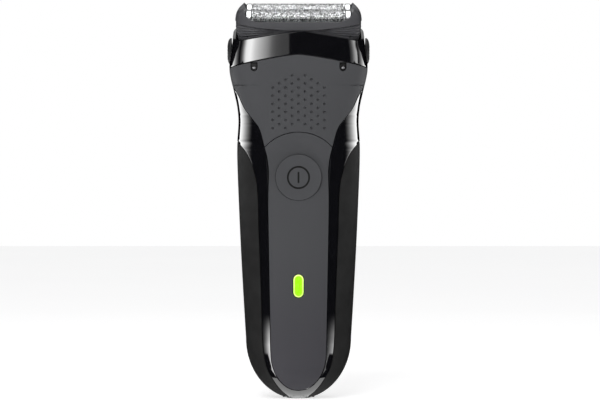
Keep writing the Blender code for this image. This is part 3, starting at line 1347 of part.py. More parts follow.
def foil_holder(name, side):
    """The frame that stretches a foil: a polished arch at each end and two rails inside the foil's legs."""
    v = side * FOIL_V
    radius = FOIL_RADIUS - 0.1 * MM
    long = FOIL_HALF_LENGTH + GAP + HOLDER_END
    inner = FOIL_HALF_LENGTH + GAP
    rail = FOIL_RADIUS - FOIL_THICKNESS - GAP
    made = plate(name, arch_outline(v, radius, HOLDER_FOOT), -long, long, "X")
    above = box("above", (-inner, v - 2 * radius, HOLDER_RAIL_TOP), (inner, v + 2 * radius, FAR))
    between = box("between", (-inner, v - rail + HOLDER_RAIL, -FAR), (inner, v + rail - HOLDER_RAIL, FAR))
    outside = [
        box("outside", (-inner, v + low, -FAR), (inner, v + high, FAR))
        for low, high in ((-2 * radius, -rail), (rail, 2 * radius))
    ]
    return finish(in_head(cut(made, above, between, *outside)), POLISHED_STEEL, (0, v, HOLDER_FOOT))


def foil_spring(name, side, sign):
    u = sign * (FOIL_HALF_LENGTH + GAP + HOLDER_END / 2 - 0.25 * MM)
    v = side * FOIL_V
    start = (u, v, CASSETTE_FOOT + CASSETTE_FLOOR + GAP / 2)
    made = coil(name, SPRING_RADIUS, SPRING_WIRE, SPRING_TURNS, start, (u, v, HOLDER_FOOT - GAP / 2))
    return finish(in_head(made), POLISHED_STEEL, start)


def cutter(name, side):
    """The block that swings under a foil: arched blades on a bar, with a socket for the drive pin."""
    v = side * FOIL_V
    long, deep = CUTTER_HALF_LENGTH, CUTTER_BAR_HALF_DEPTH
    bar_top = CUTTER_FOOT + CUTTER_BAR
    made = box(name, (-long, v - deep, CUTTER_FOOT), (long, v + deep, bar_top))
    radius = FOIL_RADIUS - FOIL_THICKNESS - GAP
    blades = []
    for k in range(CUTTER_BLADES):
        u = -long + BLADE_THICKNESS / 2 + (2 * long - BLADE_THICKNESS) * k / (CUTTER_BLADES - 1)
        neck = [(v + deep - 0.2 * MM, bar_top - 0.5 * MM), (v + deep - 0.2 * MM, bar_top + 0.3 * MM)]
        skirt = [(v + radius, HOLDER_RAIL_TOP + 2 * GAP)]
        arc = disc(radius, (v, FOIL_CENTRE), 0, math.pi, 6)
        half = neck + skirt
        outline = half + arc + [(2 * v - a, b) for a, b in reversed(half)]
        blades.append(plate("blade", outline, u - BLADE_THICKNESS / 2, u + BLADE_THICKNESS / 2, "X"))
    made = join(made, *blades)
    core = rod("core", radius - 1.5 * MM, (-long + 1 * MM, v, FOIL_CENTRE), (long - 1 * MM, v, FOIL_CENTRE), 14)
    made = cut(made, core)
    socket_top = PIN_TOP + FOIL_TRAVEL + GAP
    socket = rod("socket", PIN_RADIUS + GAP, (0, v, 0), (0, v, socket_top), 20)
    return finish(in_head(cut(made, socket)), FOIL_STEEL, (0, v, CUTTER_FOOT))


def middle_trimmer():
    """The comb between the foils: an upturned channel with slots across its top, and an ear at each end."""
    half, top = TRIMMER_HALF_DEPTH, TRIMMER_TOP
    long = FOIL_HALF_LENGTH
    made = box("middle_trimmer", (-long, -half, TRIMMER_FOOT), (long, half, top))
    ears = box("ears", (-TRIMMER_HALF_LENGTH, -half, top - TRIMMER_EAR_HEIGHT), (TRIMMER_HALF_LENGTH, half, top))
    made = join(made, ears)
    inner = half - TRIMMER_WALL
    end = long - 1 * MM
    channel = box("channel", (-end, -inner, 0), (end, inner, top - 0.5 * MM))
    slots = []
    pitch = 2 * (end - 1 * MM) / TRIMMER_TEETH_SLOTS
    for k in range(TRIMMER_TEETH_SLOTS):
        u = -end + 1 * MM + pitch * (k + 0.5)
        slots.append(box("slot", (u - 0.35 * MM, -2 * half, top - 1.4 * MM), (u + 0.35 * MM, 2 * half, FAR)))
    return finish(in_head(cut(made, channel, *slots)), MOTOR_STEEL, (0, 0, TRIMMER_FOOT))


def trimmer_blade():
    """The toothed strip that slides inside the comb."""
    half = TRIMMER_BLADE_HALF_DEPTH
    long = FOIL_HALF_LENGTH - 1 * MM - CUTTER_STROKE - GAP
    top = TRIMMER_TOP - 0.5 * MM - GAP
    made = box("trimmer_blade", (-long, -half, TRIMMER_FOOT + 0.4 * MM), (long, half, top))
    notches = []
    for k in range(TRIMMER_TEETH_SLOTS - 1):
        u = -long + 2 * long * (k + 0.5) / (TRIMMER_TEETH_SLOTS - 1)
        notches.append(box("notch", (u - 0.5 * MM, -FAR, top - 1.2 * MM), (u + 0.5 * MM, FAR, FAR)))
    return finish(in_head(cut(made, *notches)), FOIL_STEEL, (0, 0, TRIMMER_FOOT))


def main():
    front_housing()
    rear_housing()
    housing_seal()
    front_panel()
    thumb_panel()
    rear_cover()
    soft_grips()
    head_frame()
    seat_plate()
    head_bracket()
    chassis()
    battery_strap()
    circuit_board()
    tact_switch()
    status_led()
    light_guide()
    motor_can()
    motor_end_cap()
    motor_shaft()
    eccentric()
    drive_bridge()
    inlet_housing()
    power_button()
    switch_plunger()
    cassette_frame()
    middle_trimmer()
    trimmer_blade()
    for word, sign in (("left", -1), ("right", 1)):
        cap_catch("cap_catch_" + word, sign)
        battery_cell("battery_cell_" + word, sign)
        inlet_pin("inlet_pin_" + word, sign)
        release_button("release_button_" + word, sign)
        release_spring("release_spring_" + word, sign)
        motor_lead("motor_lead_" + word, sign, LEAD_RED if sign < 0 else LEAD_BLACK)
        head_at = (sign * HEAD_SCREW_U, 0, SEAT_PLATE_TOP - HEAD_SCREW_SINK)
        finish(in_head(screw("head_screw_" + word, head_at, (0, 0, 1), 4.4 * MM)), POLISHED_STEEL)
        head_at = (sign * POST_X, screw_seat(), POST_Z)
        finish(screw("housing_screw_" + word, head_at, (0, 1, 0), 8 * MM), POLISHED_STEEL)
    for word, side in FACES.items():
        foil(word + "_foil", side)
        foil_holder(word + "_foil_holder", side)
        cutter(word + "_cutter", side)
        drive_pin("drive_pin_" + word, side)
        drive_boot("drive_boot_" + word, side)
        guide_rod("guide_rod_" + word, side)
        for end, sign in (("left", -1), ("right", 1)):
            foil_spring(f"foil_spring_{word}_{end}", side, sign)


main()
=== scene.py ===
"""The finished looks of a cordless foil shaver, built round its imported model.

Lengths are in metres.  +Z runs up the handle and -Y is the front.  Head pieces are worked out in the head's own
frame: u along X, v backwards and w up out of the tilted head.
"""

import json
import math

import bmesh
import bpy
from mathutils import Matrix, Vector

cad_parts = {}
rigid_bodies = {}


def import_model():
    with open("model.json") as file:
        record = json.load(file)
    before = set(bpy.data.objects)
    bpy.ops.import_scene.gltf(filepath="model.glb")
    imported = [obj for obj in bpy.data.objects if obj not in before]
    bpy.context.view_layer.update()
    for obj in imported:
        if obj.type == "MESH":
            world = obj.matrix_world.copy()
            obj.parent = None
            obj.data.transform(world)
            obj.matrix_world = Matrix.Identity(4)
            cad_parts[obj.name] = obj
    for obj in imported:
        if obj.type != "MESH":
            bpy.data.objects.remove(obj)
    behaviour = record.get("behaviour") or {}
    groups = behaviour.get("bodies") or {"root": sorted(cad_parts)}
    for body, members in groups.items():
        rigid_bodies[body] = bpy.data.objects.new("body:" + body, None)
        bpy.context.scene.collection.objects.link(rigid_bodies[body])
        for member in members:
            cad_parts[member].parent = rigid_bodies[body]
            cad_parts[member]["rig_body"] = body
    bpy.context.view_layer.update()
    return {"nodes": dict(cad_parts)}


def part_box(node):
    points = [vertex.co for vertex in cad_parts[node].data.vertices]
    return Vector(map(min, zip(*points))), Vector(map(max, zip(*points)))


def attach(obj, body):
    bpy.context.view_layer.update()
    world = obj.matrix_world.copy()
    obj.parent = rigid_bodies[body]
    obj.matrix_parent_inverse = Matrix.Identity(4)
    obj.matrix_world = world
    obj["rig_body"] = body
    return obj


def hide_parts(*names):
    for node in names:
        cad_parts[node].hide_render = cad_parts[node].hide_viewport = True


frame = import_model()

bl_info = {
    "name": "Foil shaver",
    "version": (1, 0, 0),
    "blender": (4, 5, 0),
    "location": "3D View > Sidebar > Shaver",
    "description": "Builds the visible pieces of a foil shaver on its fixed frame",
    "category": "Add Mesh",
}

MM = 0.001
FAR = 0.1

# ---- Sizes shared with the frame -----------------------------------------------------------------------------
LENGTH = 104 * MM  # base to neck
HALF_WIDTH = 24.9 * MM
FRONT = 14.8 * MM
BACK = 19.4 * MM
BACK_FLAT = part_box("rear_cover")[1].y
PARTING_Y = 0.8 * MM
PANEL = 1.5 * MM
GAP = 0.3 * MM
POCKET = PANEL + GAP
TILT = math.radians(18)
LEAN = math.tan(TILT)
HEAD_Z = LENGTH + 40.56 * MM
HEAD_Y = -3.14 * MM
HEAD_FRAME = Matrix.Translation((0, HEAD_Y, HEAD_Z)) @ Matrix.Rotation(TILT, 4, "X")
COLLAR_HALF_DEPTH = 14.3 * MM
COLLAR_WALL = 1.1 * MM
BUTTON_Z = LENGTH - 14.9 * MM
BUTTON_RADIUS = 9.15 * MM
THUMB_ARC = 18.2 * MM
LAMP_Z = 45.7 * MM
LAMP_HALF_WIDTH = 2.05 * MM
LAMP_HALF_LENGTH = 4.55 * MM
PANEL_FOOT = 3.6 * MM
PANEL_ARCH = 15 * MM
GRIP_FOOT = 0.9 * MM
GRIP_TOP = 1.005 * LENGTH
GRIP_SHOULDER = 0.82 * LENGTH
FOIL_V = 5.9 * MM
FOIL_RADIUS = 4.6 * MM
FOIL_CENTRE = 9.3 * MM
FOIL_HALF_LENGTH = 18.6 * MM
CASSETTE_FOOT = -2.2 * MM
WALL_TOP = 10.35 * MM
TRIMMER_TOP = 12.8 * MM
RELEASE_FACE = 28.7 * MM
RELEASE_FOOT = -9.4 * MM
RELEASE_TOP = 0.6 * MM
RELEASE_HALF_DEPTH = 5.6 * MM


def smooth(points):
    """A smooth curve through (position, value) points, as a function of the position."""
    places = [p for p, _ in points]
    values = [v for _, v in points]

    def slope(i):
        low, high = max(i - 1, 0), min(i + 1, len(points) - 1)
        return (values[high] - values[low]) / (places[high] - places[low])

    def at(place):
        if place <= places[0]:
            return values[0]
        if place >= places[-1]:
            return values[-1] + slope(len(points) - 1) * (place - places[-1])
        i = max(k for k in range(len(points) - 1) if places[k] <= place)
        span = places[i + 1] - places[i]
        t = (place - places[i]) / span
        rise = values[i + 1] - values[i]
        first, last = slope(i) * span, slope(i + 1) * span
        return values[i] + t * (first + t * (3 * rise - 2 * first - last + t * (first + last - 2 * rise)))

    return at


def along_grip(size, *pairs):
    """Points of a curve up the handle: shares of its length, and ratios of one of its sizes."""
    return [(share * LENGTH, ratio * size) for share, ratio in pairs]


def above_neck(*pairs):
    """Points of a curve above the neck, as height and value in millimetres."""
    return [(LENGTH + height * MM, value * MM) for height, value in pairs]


half_width_above = smooth(
    along_grip(HALF_WIDTH, (0.23, 0.857), (0.385, 0.896), (0.577, 0.94), (0.77, 0.976), (0.93, 1), (1, 0.998))
    + above_neck((8, 24.402), (14, 24.9), (20, 26.2), (26, 27.6), (29.5, 28))
    + above_neck((35, 27.5), (41, 26.5), (58, 26.5))
)
front_above = smooth(
    along_grip(FRONT, (0.12, 0.85), (0.2, 0.925), (0.43, 0.987), (0.67, 1), (0.87, 0.96), (1, 0.905))
    + above_neck((12, 12.876), (20, 13), (27, 14))
)
back_above = smooth(
    along_grip(
        BACK, (0.12, 0.65), (0.2, 0.72), (0.43, 0.887), (0.62, 0.984), (0.75, 1), (0.88, 0.97), (1, 0.9)
    )
    + above_neck((16, 15.52), (28, 14.5), (36, 13.8))
)
panel_edge = smooth(
    along_grip(
        HALF_WIDTH, (0, 0), (0.1, 0.373), (0.157, 0.434), (0.3, 0.452), (0.6, 0.475), (0.8, 0.49),
        (0.93, 0.51), (1, 0.57),
    )
    + above_neck((5.3, 15.936), (9, 18.675), (13, 21.663), (18.5, 24.2775), (24, 27.888), (29, 31.125))
)
grip_edge = smooth(
    [(GRIP_FOOT, 0.17 * HALF_WIDTH)]
    + along_grip(
        HALF_WIDTH, (0.035, 0.29), (0.07, 0.4), (0.124, 0.52), (0.21, 0.58), (0.39, 0.605), (0.65, 0.645),
        (0.82, 0.672), (0.9, 0.75), (0.957, 0.86), (1.005, 1.03),
    )
)  # fmt: skip


def arch(z, height, foot_share):
    """How far a rounded bottom has opened at z, from 0 to 1."""
    middle = height * math.sqrt(1 - foot_share**2)
    return 1.0 if z >= middle else math.sqrt(max(0, 1 - ((middle - z) / height) ** 2))


def half_width(z):
    return half_width_above(z) * arch(z, 24.5 * MM, 4.75 * MM / (0.857 * HALF_WIDTH))


def head_wall(z, side):
    """y of the collar's front (side -1) or back (side +1) wall, which leans with the head."""
    return HEAD_Y + side * COLLAR_HALF_DEPTH / math.cos(TILT) - (z - HEAD_Z) * LEAN


def blend_to_head(z, value, wall, start, end):
    t = min(1, max(0, (z - LENGTH - start * MM) / ((end - start) * MM)))
    t = t * t * (3 - 2 * t)
    return value * (1 - t) + wall * t


def front_reach(z):
    value = front_above(z) * arch(z, 13 * MM, 4.6 * MM / (0.85 * FRONT))
    return blend_to_head(z, value, -head_wall(z, -1), 20, 32)


def back_reach(z):
    value = back_above(z) * arch(z, 13 * MM, 4.6 * MM / (0.65 * BACK))
    return blend_to_head(z, value, head_wall(z, 1), 22, 40)


def middle_y(z):
    return blend_to_head(z, PARTING_Y, HEAD_Y - (z - HEAD_Z) * LEAN, 20, 40)


def squareness(z):
    """The section's exponent: 2 is an ellipse, and more is squarer."""
    return blend_to_head(z, 2.5, 4.5, 6, 34)


def skin(angle, z, inset=0.0):
    """The casing's surface at this height and angle, moved inwards. -90 degrees is the front."""
    centre, power = middle_y(z), squareness(z)
    c, s = math.cos(angle), math.sin(angle)
    size = (abs(c) ** power + abs(s) ** power) ** (-1 / power)
    deep = (back_reach(z) - centre if s > 0 else front_reach(z) + centre) - inset
    return Vector(((half_width(z) - inset) * c * size, centre + deep * s * size, z))


def turn_at(x, z, side):
    """The angle at which the casing's surface has this x, in front (side -1) or behind (side +1)."""
    share = min(1.0, abs(x) / max(half_width(z), 1e-6))
    power = squareness(z)
    return math.atan2(side * (1 - share**power) ** (1 / power), math.copysign(share, x))


def on_face(x, z, side, inset=0.0):
    return skin(turn_at(x, z, side), z, inset)


def collar_foot(x):
    """z of the line where the collar meets the handle."""
    return LENGTH + 34.4 * MM - 4.8 * MM * (abs(x) / (27.5 * MM)) ** 1.25


def collar_rim(u):
    """w of the collar's upper edge."""
    return 7.3 * MM - 4.25 * MM * (abs(u) / (24.5 * MM)) ** 1.2


def panel_half_width(z, grow=0.0):
    """Half width of the grey panels at z; their bottom is a half ellipse."""
    foot, tall = PANEL_FOOT - grow, PANEL_ARCH + grow
    if z >= foot + tall:
        return panel_edge(z) + grow
    share = max(0, (z - foot) / tall)
    return (panel_edge(foot + tall) + grow) * math.sqrt(max(0, 1 - (1 - share) ** 2))


def cover_half_width(z, grow=0.0):
    """Half width of the rear cover's tall rounded outline at z."""
    foot, top = 9 * MM - grow, LENGTH + 8 * MM + grow
    share = min(1, abs(z - (foot + top) / 2) / ((top - foot) / 2))
    return (0.47 * HALF_WIDTH + grow) * (1 - share**3.4) ** (1 / 3.4)


def ease(low, high, x):
    """0 below low, 1 above high and smooth between."""
    t = min(1, max(0, (x - low) / (high - low)))
    return t * t * (3 - 2 * t)


def spread(low, high, steps):
    return [low + (high - low) * k / steps for k in range(steps + 1)]


# ---- Materials -----------------------------------------------------------------------------------------------
class Value:
    """A number in a material's nodes. Sums, products and comparisons of values add Math nodes."""

    def __init__(self, look, socket):
        self.look, self.socket = look, socket

    def __add__(self, other):
        return self.look.maths("ADD", self, other)

    def __sub__(self, other):
        return self.look.maths("SUBTRACT", self, other)

    def __rsub__(self, other):
        return self.look.maths("SUBTRACT", other, self)

    def __mul__(self, other):
        return self.look.maths("MULTIPLY", self, other)

    def __truediv__(self, other):
        return self.look.maths("DIVIDE", self, other)

    def __pow__(self, other):
        return self.look.maths("POWER", self, other)

    def __lt__(self, other):
        return self.look.maths("LESS_THAN", self, other)

    def __gt__(self, other):
        return self.look.maths("GREATER_THAN", self, other)

    def __abs__(self):
        return self.look.maths("ABSOLUTE", self)

    __radd__ = __add__
    __rmul__ = __mul__


class Look:
    """A material made of nodes, whose patterns follow the object's own coordinates."""

    def __init__(self, name):
        self.name = name
        self.material = bpy.data.materials.new(name)
        self.material.use_nodes = True
        self.tree = self.material.node_tree
        self.surface = self.tree.nodes["Principled BSDF"]
        self.place = self.node("ShaderNodeTexCoord").outputs["Object"]
        parts = self.node("ShaderNodeSeparateXYZ", {"Vector": self.place})
        self.x, self.y, self.z = (Value(self, parts.outputs[k]) for k in range(3))

    def node(self, kind, values=(), **settings):
        """A node of this type, with its settings made before its sockets get their values or links."""
        made = self.tree.nodes.new(kind)
        for key, value in settings.items():
            setattr(made, key, value)
        for key, value in dict(values).items():
            self.feed(made.inputs[key], value)
        return made

    def feed(self, socket, value):
        if isinstance(value, Value):
            value = value.socket
        if isinstance(value, bpy.types.NodeSocket):
            self.tree.links.new(value, socket)
        elif socket.type == "RGBA":
            socket.default_value = (*value[:3], 1)
        else:
            socket.default_value = value

    def set(self, **values):
        """Feeds the surface's sockets; an underscore in a name stands for a space."""
        for key, value in values.items():
            self.feed(self.surface.inputs[key.replace("_", " ")], value)
        return self

    def maths(self, operation, *values):
        made = self.node("ShaderNodeMath", enumerate(values), operation=operation)
        return Value(self, made.outputs[0])

    def noise(self, size, detail=3.0, stretch=(1, 1, 1)):
        """Soft noise from 0 to 1 with features of about this size."""
        where = self.place
        if stretch != (1, 1, 1):
            where = self.node("ShaderNodeMapping", {"Vector": where, "Scale": stretch}).outputs[0]
        made = self.node("ShaderNodeTexNoise", {"Vector": where, "Scale": 1 / size, "Detail": detail})
        return Value(self, made.outputs["Fac"])

    def between(self, value, low, high):
        """0 where value is at low, 1 at high, smooth between."""
        values = {"Value": value, "From Min": low, "From Max": high}
        made = self.node("ShaderNodeMapRange", values, interpolation_type="SMOOTHSTEP")
        return Value(self, made.outputs[0])

    def mix(self, share, low, high):
        """A colour between two colours."""
        made = self.node("ShaderNodeMix", {0: share, 6: low, 7: high}, data_type="RGBA")
        return made.outputs[2]

    def bump(self, *layers):
        """Bumps the surface with (height, depth) layers."""
        normal = None
        for height, depth in layers:
            values = {"Height": height, "Distance": depth}
            if normal is not None:
                values["Normal"] = normal
            normal = self.node("ShaderNodeBump", values).outputs[0]
        return self.set(Normal=normal)


def shade(colour, share):
    """The same colour, darker below 1 and lighter above it."""
    return tuple(min(1, c * share) for c in colour)


def moulded(name, colour, roughness, grain=0.25 * MM, depth=0.02 * MM, specular=0.5, mottle=0.12):
    """A moulded plastic or rubber: fine grain, slow colour variation and uneven gloss."""
    look = Look(name)
    slow, fine = look.noise(9 * MM), look.noise(grain, 4)
    base = look.mix(slow, shade(colour, 1 - mottle), shade(colour, 1 + mottle))
    look.set(Base_Color=look.mix(fine, base, shade(colour, 1.15)))
    look.set(Roughness=roughness + (slow - 0.5) * 0.12 + (fine - 0.5) * 0.1, Specular_IOR_Level=specular)
    return look.bump((fine, depth))


def machined(name, colour, roughness, stretch=(1, 1, 1), depth=0.004 * MM):
    """A metal with fine tool marks."""
    look = Look(name)
    marks, slow = look.noise(0.22 * MM, 3, stretch), look.noise(5 * MM)
    look.set(Base_Color=look.mix(marks, shade(colour, 0.82), shade(colour, 1.1)), Metallic=1.0)
    look.set(Roughness=roughness + (marks - 0.5) * 0.16 + (slow - 0.5) * 0.1)
    return look.bump((marks, depth))


def gloss_black(colours):
    """Piano black: a lacquer-smooth surface with a trace of orange peel and a mould line at the foot."""
    look = Look("gloss_black")
    peel, smudge = look.noise(3.2 * MM, 1), look.noise(7 * MM, 4)
    line = (abs(look.x - 0.8 * MM) < 0.09 * MM) * (look.z < 3.4 * MM)
    look.set(Base_Color=look.mix(smudge, shade(colours.gloss, 0.8), shade(colours.gloss, 1.3)))
    look.set(Roughness=0.012 + smudge * 0.02, Specular_IOR_Level=0.9, Coat_Weight=1.0, Coat_Roughness=0.0)
    return look.bump((peel, 0.0008 * MM), (1 - line, 0.05 * MM))


def matte_grey(colours):
    """The panels' spark-eroded plastic, with painted shade: a little cooler and darker towards the foot."""
    look = Look("matte_grey")
    slow, spark, coarse = look.noise(14 * MM), look.noise(0.16 * MM, 4), look.noise(0.7 * MM, 2)
    # painted shade: the colour darkens towards the foot, where less light falls
    height = look.between(look.z, 10 * MM, 70 * MM)
    base = look.mix(height, colours.panel_foot_painted_shade, colours.panel)
    base = look.mix(slow * 0.25, base, shade(colours.panel, 0.82))
    look.set(Base_Color=look.mix(spark * 0.3, base, shade(colours.panel, 1.25)))
    look.set(Roughness=0.55 + (spark - 0.5) * 0.14 + (slow - 0.5) * 0.08, Specular_IOR_Level=0.16)
    return look.bump((spark, 0.016 * MM), (coarse, 0.01 * MM))


def soft_grip(colours):
    """Soft-touch rubber: faintly mottled, with an almost velvety grain."""
    look = Look("soft_grip")
    slow, fine, cells = look.noise(6 * MM, 3), look.noise(0.2 * MM, 5), look.noise(1.6 * MM, 2)
    base = look.mix(look.between(slow, 0.3, 0.7), shade(colours.grip, 0.8), shade(colours.grip, 1.2))
    look.set(Base_Color=look.mix(fine * 0.4, base, shade(colours.grip, 1.5)))
    look.set(Roughness=0.66 + (fine - 0.5) * 0.18 + (cells - 0.5) * 0.08, Specular_IOR_Level=0.12)
    return look.bump((fine, 0.02 * MM), (cells, 0.015 * MM))


def foil_net_steel(colours):
    """The perforated foil: bright etched steel speckled with the shade of its holes."""
    look = Look("foil_net")
    speck, grain, broad = look.noise(0.62 * MM, 2), look.noise(0.3 * MM, 3), look.noise(3 * MM)
    bright = look.between(speck + (broad - 0.5) * 0.2, 0.4, 0.6)
    look.set(Base_Color=look.mix(bright, shade(colours.steel, 0.1), shade(colours.steel, 1.25)), Metallic=1.0)
    look.set(Roughness=0.28 + grain * 0.14)
    return look.bump((grain, 0.012 * MM), (speck, 0.03 * MM))


def foil_steel(colours):
    """The cutters' thin steel, clouded where it has been ground."""
    look = Look("foil_steel")
    cloud, grain = look.noise(1.1 * MM, 3), look.noise(0.3 * MM, 3)
    patches = look.between(cloud, 0.35, 0.65)
    look.set(Base_Color=look.mix(patches, shade(colours.steel, 0.72), shade(colours.steel, 1.1)), Metallic=1.0)
    look.set(Roughness=0.24 + patches * 0.12 + grain * 0.08)
    return look.bump((grain, 0.012 * MM), (cloud, 0.02 * MM))


def lamp_green(colours):
    """The lit window: bright green, paler towards its rim, with a painted highlight that makes the rim palest
    along its top.
    """
    look = Look("lamp_green")
    along = look.maths("MAXIMUM", abs(look.z - LAMP_Z) - (LAMP_HALF_LENGTH - LAMP_HALF_WIDTH), 0.0)
    edge = look.maths("SQRT", look.x * look.x + along * along) / LAMP_HALF_WIDTH
    rim = look.between(edge, 0.62, 0.95)
    # painted highlight: the rim's pale glow grows towards the top, where light from above would catch it
    upper = look.between(look.z, LAMP_Z - 2 * MM, LAMP_Z + LAMP_HALF_LENGTH)
    cloud = look.noise(1.5 * MM)
    lit = look.mix(rim * (0.35 + 0.65 * upper), colours.lamp, colours.lamp_rim)
    lit = look.mix(cloud * 0.15, lit, shade(colours.lamp, 0.75))
    look.set(Base_Color=look.mix(rim, shade(colours.lamp, 0.6), colours.lamp_rim), Emission_Color=lit)
    look.set(Emission_Strength=colours.lamp_glow, Roughness=0.22 + cloud * 0.1, Coat_Weight=0.5)
    return look.bump((cloud, 0.01 * MM))


def board_green():
    """A circuit board with its tracks under the green mask."""
    look = Look("board_green")
    cells = look.node("ShaderNodeTexVoronoi", {"Vector": look.place, "Scale": 420.0}, distance="MANHATTAN")
    track = look.between(Value(look, cells.outputs["Distance"]), 0.32, 0.36)
    weave = look.noise(0.3 * MM, 2, (1, 1, 3))
    mask = look.mix(weave, (0.012, 0.11, 0.04), (0.02, 0.16, 0.06))
    look.set(Base_Color=look.mix(track, mask, (0.035, 0.24, 0.09)), Roughness=0.3 + weave * 0.2)
    return look.bump((track, 0.03 * MM), (weave, 0.01 * MM))


LOOKS = {}


def make_looks(colours):
    """One material for each of the record's finishes."""
    made = [
        gloss_black(colours),
        matte_grey(colours),
        soft_grip(colours),
        moulded("cassette_grey", colours.cassette, 0.42, 0.2 * MM, 0.014 * MM, 0.3, 0.06),
        foil_steel(colours),
        foil_net_steel(colours),
        machined("polished_steel", shade(colours.steel, 1.15), 0.16, depth=0.001 * MM),
        machined("motor_steel", (0.5, 0.5, 0.5), 0.3, (1, 1, 6)),
        machined("comb_steel", (0.42, 0.42, 0.43), 0.14),
        machined("nickel", (0.66, 0.64, 0.58), 0.25),
        machined("brass", (0.72, 0.53, 0.24), 0.3),
        moulded("white_plastic", (0.72, 0.72, 0.69), 0.42, mottle=0.05),
        moulded("dark_plastic", colours.dark, 0.48, 0.2 * MM, 0.02 * MM, 0.2),
        moulded("seal_rubber", (0.03, 0.03, 0.03), 0.78, 0.3 * MM, 0.03 * MM, 0.3),
        board_green(),
        lamp_green(colours),
        moulded("cell_sleeve", (0.05, 0.2, 0.35), 0.3, 0.6 * MM, 0.01 * MM),
        moulded("lead_red", (0.5, 0.02, 0.02), 0.42),
        moulded("lead_black", (0.015, 0.015, 0.015), 0.42),
        # near-black for the power mark's print, and as painted shade on the cap catches' tongues
        moulded("print_black_and_painted_shade", (0.006, 0.006, 0.006), 0.5, specular=0.2),
        # painted highlight: a pale grey for the light that catches the cap catches' tips
        moulded("catch_painted_highlight", (0.22, 0.22, 0.23), 0.35),
    ]
    LOOKS.update({look.name: look.material for look in made})


# ---- Shaping pieces ------------------------------------------------------------------------------------------
def alone(piece):
    """Makes piece the only selected and the active object."""
    bpy.ops.object.select_all(action="DESELECT")
    piece.select_set(True)
    bpy.context.view_layer.objects.active = piece
    return piece


def modify(piece, kind, **settings):
    """Adds a modifier with these settings and applies it."""
    alone(piece)
    step = piece.modifiers.new(kind.lower(), kind)
    for key, value in settings.items():
        setattr(step, key, value)
    bpy.ops.object.modifier_apply(modifier=step.name)
    return piece


def in_edit(piece, *steps):
    """Runs edit-mode steps on the whole mesh of piece."""
    alone(piece)
    bpy.ops.object.mode_set(mode="EDIT")
    bpy.ops.mesh.select_all(action="SELECT")
    for step in steps:
        step()
    bpy.ops.object.mode_set(mode="OBJECT")
    return piece


def merge_seams():
    bpy.ops.mesh.remove_doubles(threshold=1e-6)
    bpy.ops.mesh.dissolve_degenerate(threshold=1e-6)


def face_outwards():
    bpy.ops.mesh.normals_make_consistent(inside=False)


def sheet(name, across, up, place):
    """A grid of across by up cells with each corner put at place(s, t), where s and t run from -1 to 1."""
    bpy.ops.object.select_all(action="DESELECT")
    bpy.ops.mesh.primitive_grid_add(x_subdivisions=across, y_subdivisions=up, size=2)
    made = bpy.context.object
    made.name = made.data.name = name
    for corner in made.data.vertices:
        corner.co = place(corner.co.x, corner.co.y)
    return in_edit(made, merge_seams, face_outwards)


def wall(piece, thickness, outwards=None):
    """Gives an open sheet its thickness, inwards. outwards says which way a face at a point looks."""
    total = 0.0
    for face in piece.data.polygons:
        spot = face.center
        away = outwards(spot) if outwards else spot - Vector((0, middle_y(spot.z), spot.z))
        total += face.normal.dot(away) * face.area
    if total < 0:
        in_edit(piece, bpy.ops.mesh.flip_normals)
    return modify(piece, "SOLIDIFY", thickness=thickness, offset=-1, use_even_offset=False)


def rounded(piece, width, segments=2, limit=38):
    """Rounds the sharp edges and leaves the large faces' shading flat."""
    if width:
        modify(
            piece, "BEVEL", width=width, segments=segments, limit_method="ANGLE", angle_limit=math.radians(limit),
            use_clamp_overlap=True, harden_normals=False,
        )  # fmt: skip
    alone(piece)
    bpy.ops.object.shade_smooth_by_angle(angle=math.radians(52))
    return modify(piece, "WEIGHTED_NORMAL", keep_sharp=True, weight=60)


def boolean(target, others, operation):
    """Cuts others from target, joins them or keeps what they share, and removes them."""
    for other in others:
        modify(target, "BOOLEAN", operation=operation, object=other, solver="EXACT")
        bpy.data.objects.remove(other)
    return target


def cut(target, *others):
    return boolean(target, others, "DIFFERENCE")


def keep(target, *others):
    return boolean(target, others, "INTERSECT")


def join(target, *others):
    return boolean(target, others, "UNION")


def solid(name, outline, low, high, place):
    """A prism of an outline of (a, b) points from low to high, each point put at place(a, b, height)."""
    bpy.ops.object.select_all(action="DESELECT")
    bpy.ops.mesh.primitive_circle_add(vertices=len(outline), radius=1, fill_type="NGON")
    made = bpy.context.object
    made.name = made.data.name = name
    for corner, (a, b) in zip(made.data.vertices, outline):
        corner.co = (a, b, low)
    lift = {"value": (0, 0, high - low)}
    in_edit(made, lambda: bpy.ops.mesh.extrude_region_move(TRANSFORM_OT_translate=lift))
    for corner in made.data.vertices:
        corner.co = place(*corner.co)
    return in_edit(made, face_outwards)


def stack(name, outline, count, place):
    """A closed form through count rings: each outline point (a, b) of ring k is put at place(a, b, k)."""
    made = solid(name, outline, 0, 1, lambda a, b, c: (a, b, c * (count - 1)))
    if count > 2:
        heights = [corner.co.z for corner in made.data.vertices]
        sides = [
            edge for edge in made.data.edges
            if abs(heights[edge.vertices[0]] - heights[edge.vertices[1]]) > 0.5
        ]  # fmt: skip
        data = bmesh.new()
        data.from_mesh(made.data)
        data.edges.ensure_lookup_table()
        rising = [data.edges[edge.index] for edge in sides]
        bmesh.ops.subdivide_edges(data, edges=rising, cuts=count - 2, use_grid_fill=True)
        data.to_mesh(made.data)
        data.free()
    for corner in made.data.vertices:
        corner.co = place(*corner.co)
    return in_edit(made, face_outwards)


def block(name, low, high, place=lambda a, b, c: (a, b, c)):
    """A box between two corners."""
    outline = [(low[0], low[1]), (high[0], low[1]), (high[0], high[1]), (low[0], high[1])]
    return solid(name, outline, low[2], high[2], place)


def in_head(u, v, w):
    return HEAD_FRAME @ Vector((u, v, w))


def head_end(v, w, u):
    """A point of an outline seen along the head's long axis."""
    return in_head(u, v, w)


def head_face(u, w, v):
    """A point of an outline seen from the head's front."""
    return in_head(u, v, w)


def along_y(x, z, y):
    return (x, y, z)


